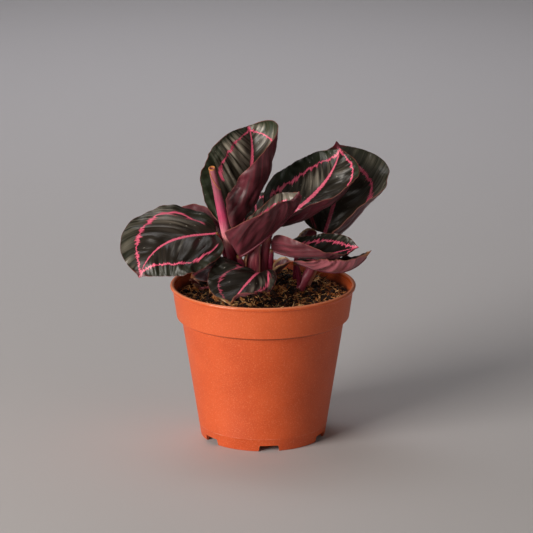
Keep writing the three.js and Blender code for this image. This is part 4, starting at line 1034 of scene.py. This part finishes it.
def potOutline():
    lipLow = pot["height"] - pot["lipHeight"]
    floorTop = pot["floorZ"] + pot["floorThick"]
    lineZ = potLook["lineZ"]
    return roundedOutline([
        # underneath: the centre foot, the raised floor and the foot ring
        [0, 0, 0], [pot["centreFoot"], 0, 0.3], [pot["centreFoot"] + 0.6, pot["floorZ"], 0.3],
        [wallAt(pot["floorZ"]) - pot["footWall"], pot["floorZ"], 0.3],
        [pot["base"] - pot["footWall"], 0, 0.3],
        # the outer wall with its witness line, then the step under the collar
        [pot["base"], 0, 0.7], [wallAt(lineZ - 0.3), lineZ - 0.3, 0], [wallAt(lineZ) + 0.09, lineZ, 0],
        [wallAt(lineZ + 0.3), lineZ + 0.3, 0], [wallAt(40), 40, 0], [pot["wallTop"], pot["shoulderZ"], 0.4],
        [pot["collarLow"] - 0.5, pot["shoulderZ"] + pot["shoulderRise"], 0.4],
        [pot["collarLow"], pot["collarLowZ"], 0.5],
        # the rolled lip
        [pot["collarTop"] - 0.1, lipLow, 0.25], [pot["lipRadius"] - 0.3, lipLow + 0.2, 0.4],
        [pot["lipRadius"], pot["height"] - 1, 0.5], [pot["lipRadius"] - 0.9, pot["height"], 0.7],
        [pot["lipRadius"] - pot["lipHeight"], pot["height"] - 0.3, 0.8],
        # the inner wall and the floor
        [pot["collarTop"] - pot["wall"] - 0.2, lipLow - 1, 0.6],
        [collarAt(pot["collarLowZ"] + 2) - pot["wall"], pot["collarLowZ"] + 2, 1.2],
        [pot["wallTop"] - pot["wall"], pot["shoulderZ"] + 0.8, 1],
        [wallAt(floorTop + 2) - pot["wall"], floorTop + 2, 0.8],
        [wallAt(floorTop) - pot["wall"] - 2, floorTop, 0.8], [0, floorTop, 0],
    ], pot["cornerSteps"])


def potCutters():  # the notches of the foot and the drain holes
    build = bmesh.new()
    for i in range(pot["notches"]):
        angle = math.radians(pot["notchTurn"] - 90 + 360 * i / pot["notches"])
        outward = Vector((math.cos(angle), math.sin(angle), 0))
        block = bmesh.ops.create_cube(build, size=1)["verts"]
        for vert in block:
            flare = pot["notchFlare"] if vert.co.z < 0 else 0
            x = pot["base"] + pot["notchWidth"] * vert.co.x
            y = (pot["notchWidth"] + 2 * flare) * vert.co.y
            z = pot["notchHeight"] if vert.co.z > 0 else -1
            vert.co = (outward * x + Vector((-outward.y, outward.x, 0)) * y + Vector((0, 0, z))) * toMetres
        top = [e for e in build.edges if all(v in block for v in e.verts)]
        flat = [e for e in top if min(v.co.z for v in e.verts) > 0]
        inner = [e for e in flat if abs((e.verts[0].co - e.verts[1].co).normalized().dot(outward)) > 0.9]
        bmesh.ops.bevel(build, geom=inner, offset=pot["notchCorner"] * toMetres, affect="EDGES",
                        segments=3, profile=0.5, material=-1)
        drain = bmesh.ops.create_cone(build, segments=32, radius1=pot["drainRadius"] * toMetres,
                                      radius2=pot["drainRadius"] * toMetres, depth=6 * toMetres,
                                      cap_ends=True)["verts"]
        at = outward * pot["drainRing"] + Vector((0, 0, pot["floorZ"]))
        bmesh.ops.translate(build, verts=drain, vec=at * toMetres)
    bmesh.ops.recalc_face_normals(build, faces=build.faces)
    return newObject("potCutters", build)


def buildPot():
    build = spinOutline(potOutline(), pot["steps"])
    piece = newPiece("pot_shell", build, ["pot"], [potPlastic], pot["sharpAngle"])
    cutter = potCutters()
    applyModifier(piece, "BOOLEAN", pot["sharpAngle"], object=cutter, operation="DIFFERENCE",
                  solver="EXACT")
    mesh = cutter.data
    bpy.data.objects.remove(cutter)
    bpy.data.meshes.remove(mesh)


soil = {
    "edgeZ": 92.5, "sunk": 0.6, "mound": 8, "moundMiddle": (6, 16), "moundRadius": 48, "rough": 0.6,
    "gap": 0.3, "bend": 2, "rings": 70, "steps": 200,
    "lumpHeight": 2, "lumpSize": 5.5, "grainHeight": 0.7, "grainSize": 1.8,
    # sink: how far a lump's middle stands over the surface, as a share of its size. reach: how near
    # the wall it may lie, as a share of the soil's radius. tints: darkest and brightest. dark: the
    # share of dark ones.
    "clod": {"count": 200, "fineness": 2, "size": (1.4, 3.2), "shape": (1, 1, 1), "sink": -0.2,
             "reach": 0.92, "tints": (0.05, 0.6), "dark": 0.75},
    "crumb": {"count": 3200, "fineness": 1, "size": (0.6, 1.9), "shape": (1, 1, 1), "sink": 0.3,
              "reach": 0.965, "tints": (0.02, 0.85), "dark": 0.78},
    "chip": {"count": 260, "fineness": 1, "size": (0.9, 2.2), "shape": (1.3, 0.8, 0.35), "sink": 0.5,
             "reach": 0.95, "tints": (0.2, 1.05), "dark": 0.5},
    "fibres": 3800, "fibreReach": 0.97, "fibreLength": (2.5, 9), "fibreRadius": (0.16, 0.4),
    "fibreTints": (0.02, 1), "fibreDark": 0.54, "patchSize": 7, "patchDepth": 0.6, "seed": 4,
}
soilReach = collarAt(soil["edgeZ"]) - pot["wall"] - soil["gap"] - 0.1


def soilHeight(x, y):  # the mound, with broad hollows and heaps 10 to 20 mm across
    mx, my = soil["moundMiddle"]
    away = min(1, math.hypot(x - mx, y - my) / soil["moundRadius"])
    lumps = (math.sin(0.31 * x + 1.7) * math.cos(0.27 * y - 0.4) + 0.6 * math.sin(0.63 * y + 0.22 * x)
             + 0.5 * math.cos(0.71 * x - 0.35 * y))
    return soil["edgeZ"] + soil["mound"] * (1 - away * away) ** 2 + soil["rough"] * lumps


def soilSurface(x, y):
    lump = noise.fractal(Vector((x, y, 0.7)) / soil["lumpSize"], 1, 2, 3)
    grain = noise.noise(Vector((x, y, 5.1)) / soil["grainSize"])
    rim = smoothStep(math.hypot(x, y), soilReach - 5, soilReach)
    rough = soil["lumpHeight"] * lump + soil["grainHeight"] * grain
    return soilHeight(x, y) + rough * (1 - 0.5 * rim) - soil["sunk"]


def buildSoilBed():
    floorTop = pot["floorZ"] + pot["floorThick"] + soil["gap"]
    bendZ = floorTop + soil["bend"] + soil["gap"]
    inset = pot["wall"] + soil["gap"]
    sides = [(0, floorTop), (wallAt(floorTop) - inset - soil["bend"], floorTop),
             (wallAt(bendZ) - inset, bendZ),
             (wallAt(pot["shoulderZ"]) - inset, pot["shoulderZ"] + 0.6),
             (collarAt(pot["collarLowZ"] + 3.2) - inset - 0.4, pot["collarLowZ"] + 3.2)]
    top = [(soilReach * (1 - i / soil["rings"]), soil["edgeZ"]) for i in range(soil["rings"] + 1)]
    build = spinOutline([Vector(p) for p in sides + top], soil["steps"])
    tintLayer = build.verts.layers.float.new("crumbTint")
    for vert in build.verts:
        x, y = vert.co.x / toMetres, vert.co.y / toMetres
        if vert.co.z > (soil["edgeZ"] - 1) * toMetres:
            vert.co.z = soilSurface(x, y) * toMetres
        vert[tintLayer] = 0.1 + 0.25 * noise.noise(Vector((x, y, 9)) / 4)
    newPiece("soil_bed", build, ["soil"], [soilCrumb], 180)     # smooth all over


def onSoil(draw, high):  # a random place on the soil's surface
    r = soilReach * high * math.sqrt(draw.random())
    angle = 2 * math.pi * draw.random()
    return r * math.cos(angle), r * math.sin(angle)


# Most bits are dark, some are bright, few lie between, and each patch of soil has its own share.
def brightOrDark(draw, x, y, tints, darkShare):
    patch = soil["patchDepth"] * noise.noise(Vector((x, y, 3.3)) / soil["patchSize"])
    share = 0.4 * draw.random() if draw.random() < darkShare + patch else 0.6 + 0.4 * draw.random()
    return between(tints, share)


def placeLump(verts, draw, lump):
    x, y = onSoil(draw, lump["reach"])
    size = between(lump["size"], draw.random() ** 2)
    stretch = [s * (0.6 + 0.7 * draw.random()) for s in lump["shape"]]
    turn, tip = 2 * math.pi * draw.random(), 0.7 * (draw.random() - 0.5)
    seed = 50 * draw.random()
    z = soilSurface(x, y) + size * lump["sink"]
    for vert in verts:
        bulge = 1 + 0.5 * noise.noise(vert.co * 1.6 + Vector((seed, 0, 0)))
        a, b, c = [value * s * bulge * size for value, s in zip(vert.co, stretch)]
        flat = a * math.cos(tip) - c * math.sin(tip)
        local = Vector((flat * math.cos(turn) - b * math.sin(turn),
                        flat * math.sin(turn) + b * math.cos(turn),
                        a * math.sin(tip) + c * math.cos(tip)))
        vert.co = (Vector((x, y, z)) + local) * toMetres
    return brightOrDark(draw, x, y, lump["tints"], lump["dark"])


def placeFibre(verts, draw):
    x, y = onSoil(draw, soil["fibreReach"])
    length = between(soil["fibreLength"], draw.random() ** 2)
    radius = between(soil["fibreRadius"], draw.random() ** 2)
    angle = 2 * math.pi * draw.random()
    tilt = 0.9 * (draw.random() - 0.5) + (0.8 if draw.random() < 0.12 else 0)
    bend = 1.6 * (draw.random() - 0.5)
    arch = 0.9 * (draw.random() - 0.3)
    way = Vector((math.cos(angle) * math.cos(tilt), math.sin(angle) * math.cos(tilt), math.sin(tilt)))
    side = Vector((-math.sin(angle), math.cos(angle), 0))
    over = way.cross(side)
    reach = 0.5 * length
    room = soilReach - 0.6
    z = soilSurface(x, y) + 0.5 + abs(math.sin(tilt)) * reach * 0.6
    for vert in verts:
        s = vert.co.x
        thin = radius * (1 - 0.5 * s * s)
        local = way * s * reach + side * (bend * reach * s * s * 0.5 + vert.co.y * thin)
        local += over * (-arch * reach * s * s * 0.4 + vert.co.z * thin)
        at = Vector((x, y, z)) + local
        flat = math.hypot(at.x, at.y)
        if flat > room:
            at.x *= room / flat
            at.y *= room / flat
        vert.co = at * toMetres
    return brightOrDark(draw, x, y, soil["fibreTints"], soil["fibreDark"])


def makeStrand(build):  # a thin rod from -1 to 1 along X, with 6 joints to bend at
    bmesh.ops.create_cone(build, segments=3, radius1=1, radius2=1, depth=2, cap_ends=True)
    turn = Vector((1, 0, 0)).to_track_quat("Z", "Y").to_matrix()
    bmesh.ops.rotate(build, verts=build.verts, cent=(0, 0, 0), matrix=turn)
    long = [e for e in build.edges if abs(e.verts[0].co.x - e.verts[1].co.x) > 1]
    bmesh.ops.subdivide_edges(build, edges=long, cuts=5)


def scatter(name, count, draw, make, place):
    template = bpy.data.meshes.new(name + "_one")
    build = bmesh.new()
    make(build)
    build.to_mesh(template)
    build.free()
    build = bmesh.new()
    tintLayer = build.verts.layers.float.new("crumbTint")
    for _ in range(count):
        before = len(build.verts)
        build.from_mesh(template)
        build.verts.ensure_lookup_table()
        verts = build.verts[before:]
        tint = place(verts, draw)
        for vert in verts:
            vert[tintLayer] = tint
    newPiece(name, build, [], [soilCrumb], 40)
    bpy.data.meshes.remove(template)


def buildSoil():
    buildSoilBed()
    draw = random.Random(soil["seed"])
    for name in ("clod", "crumb", "chip"):
        lump = soil[name]
        scatter("soil_" + name + "s", lump["count"], draw,
                lambda build: bmesh.ops.create_icosphere(build, subdivisions=lump["fineness"], radius=1),
                lambda verts, draw: placeLump(verts, draw, lump))
    scatter("soil_fibres", soil["fibres"], draw, makeStrand, placeFibre)


# The camera stands where the photograph was taken from.
cameraView = {
    "place": (2.27, -1554, 534),
    "pitch": 15.2,           # degrees below the horizon
    "focalPixels": 2500,     # focal length in pixels of the photograph
    "imageWidth": 533,
    "sensor": 36,
}

# Large soft sources: the key stands to the left and a little to the front, as in the photograph.
studioLights = {
    "floor": {"place": (-500, 1500, 1700), "aim": (0, 1250, 0), "size": 1400, "watts": 4,
              "colour": "#F6F5FC", "spread": 75},
    "key": {"place": (-1300, -1100, 620), "size": 1000, "watts": 37, "colour": "#FFF8F0"},
    "top": {"place": (-150, 350, 1150), "size": 600, "watts": 1.5, "colour": "#FFFAF4"},
    "fill": {"place": (1200, -900, 420), "size": 900, "watts": 1.6, "colour": "#FFF4EA"},
}
studio = {
    "floorSize": 5000, "floorColour": "#C8C6C7", "worldColour": "#94908C", "worldStrength": 0.24,
}


def buildStudio():
    camera = bpy.data.cameras.new("camera")
    camera.sensor_width = cameraView["sensor"]
    camera.lens = cameraView["focalPixels"] * cameraView["sensor"] / cameraView["imageWidth"]
    camera.clip_start = 0.01
    cameraObject = bpy.data.objects.new("camera", camera)
    cameraObject.location = Vector(cameraView["place"]) * toMetres
    cameraObject.rotation_euler = (math.radians(90 - cameraView["pitch"]), 0, 0)
    bpy.context.scene.collection.objects.link(cameraObject)
    bpy.context.scene.camera = cameraObject
    for name, light in studioLights.items():
        data = bpy.data.lights.new(name, "AREA")
        data.energy = light["watts"]
        data.size = light["size"] * toMetres
        data.color = linearColour(light["colour"])[:3]
        data.spread = math.radians(light.get("spread", 180))
        lamp = bpy.data.objects.new(name, data)
        lamp.location = Vector(light["place"]) * toMetres
        aim = Vector(light.get("aim", (0, 0, 120))) * toMetres
        lamp.rotation_euler = (aim - lamp.location).to_track_quat("-Z", "Y").to_euler()
        bpy.context.scene.collection.objects.link(lamp)
    world = bpy.data.worlds.new("studio")
    world.use_nodes = True
    background = world.node_tree.nodes["Background"]
    background.inputs["Color"].default_value = linearColour(studio["worldColour"])
    background.inputs["Strength"].default_value = studio["worldStrength"]
    bpy.context.scene.world = world
    bpy.context.scene.view_settings.view_transform = "Standard"
    build = bmesh.new()
    bmesh.ops.create_grid(build, x_segments=1, y_segments=1, size=studio["floorSize"] * toMetres)
    floor = newObject("floor", build)
    material, tree = newMaterial("paleStudioFloor")
    finishMaterial(tree, {"Base Color": linearColour(studio["floorColour"]), "Roughness": 0.7})
    floor.data.materials.append(material)


leafTop, leafUnder, leafMargin = leafTopMaterial(), leafUnderMaterial(), marginMaterial()
stemSkin, rollSkin, sheathSkin = stemMaterial(), rollMaterial(), sheathMaterial()
potPlastic, soilCrumb = potMaterial(), soilMaterial()
print("materials made")

for index, (name, leaf) in enumerate(leaves.items()):
    buildBlade(name, leaf, index)
    buildStem(name, leaf)
print("leaves and stems made:", len(leaves))

buildRoll()
print("rolled leaf made")

for index, (name, sheath) in enumerate(sheaths.items()):
    buildSheath(name, sheath, index)
print("sheaths made:", len(sheaths))

buildPot()
print("pot made")

buildSoil()
print("soil made")

buildStudio()
print("studio made")
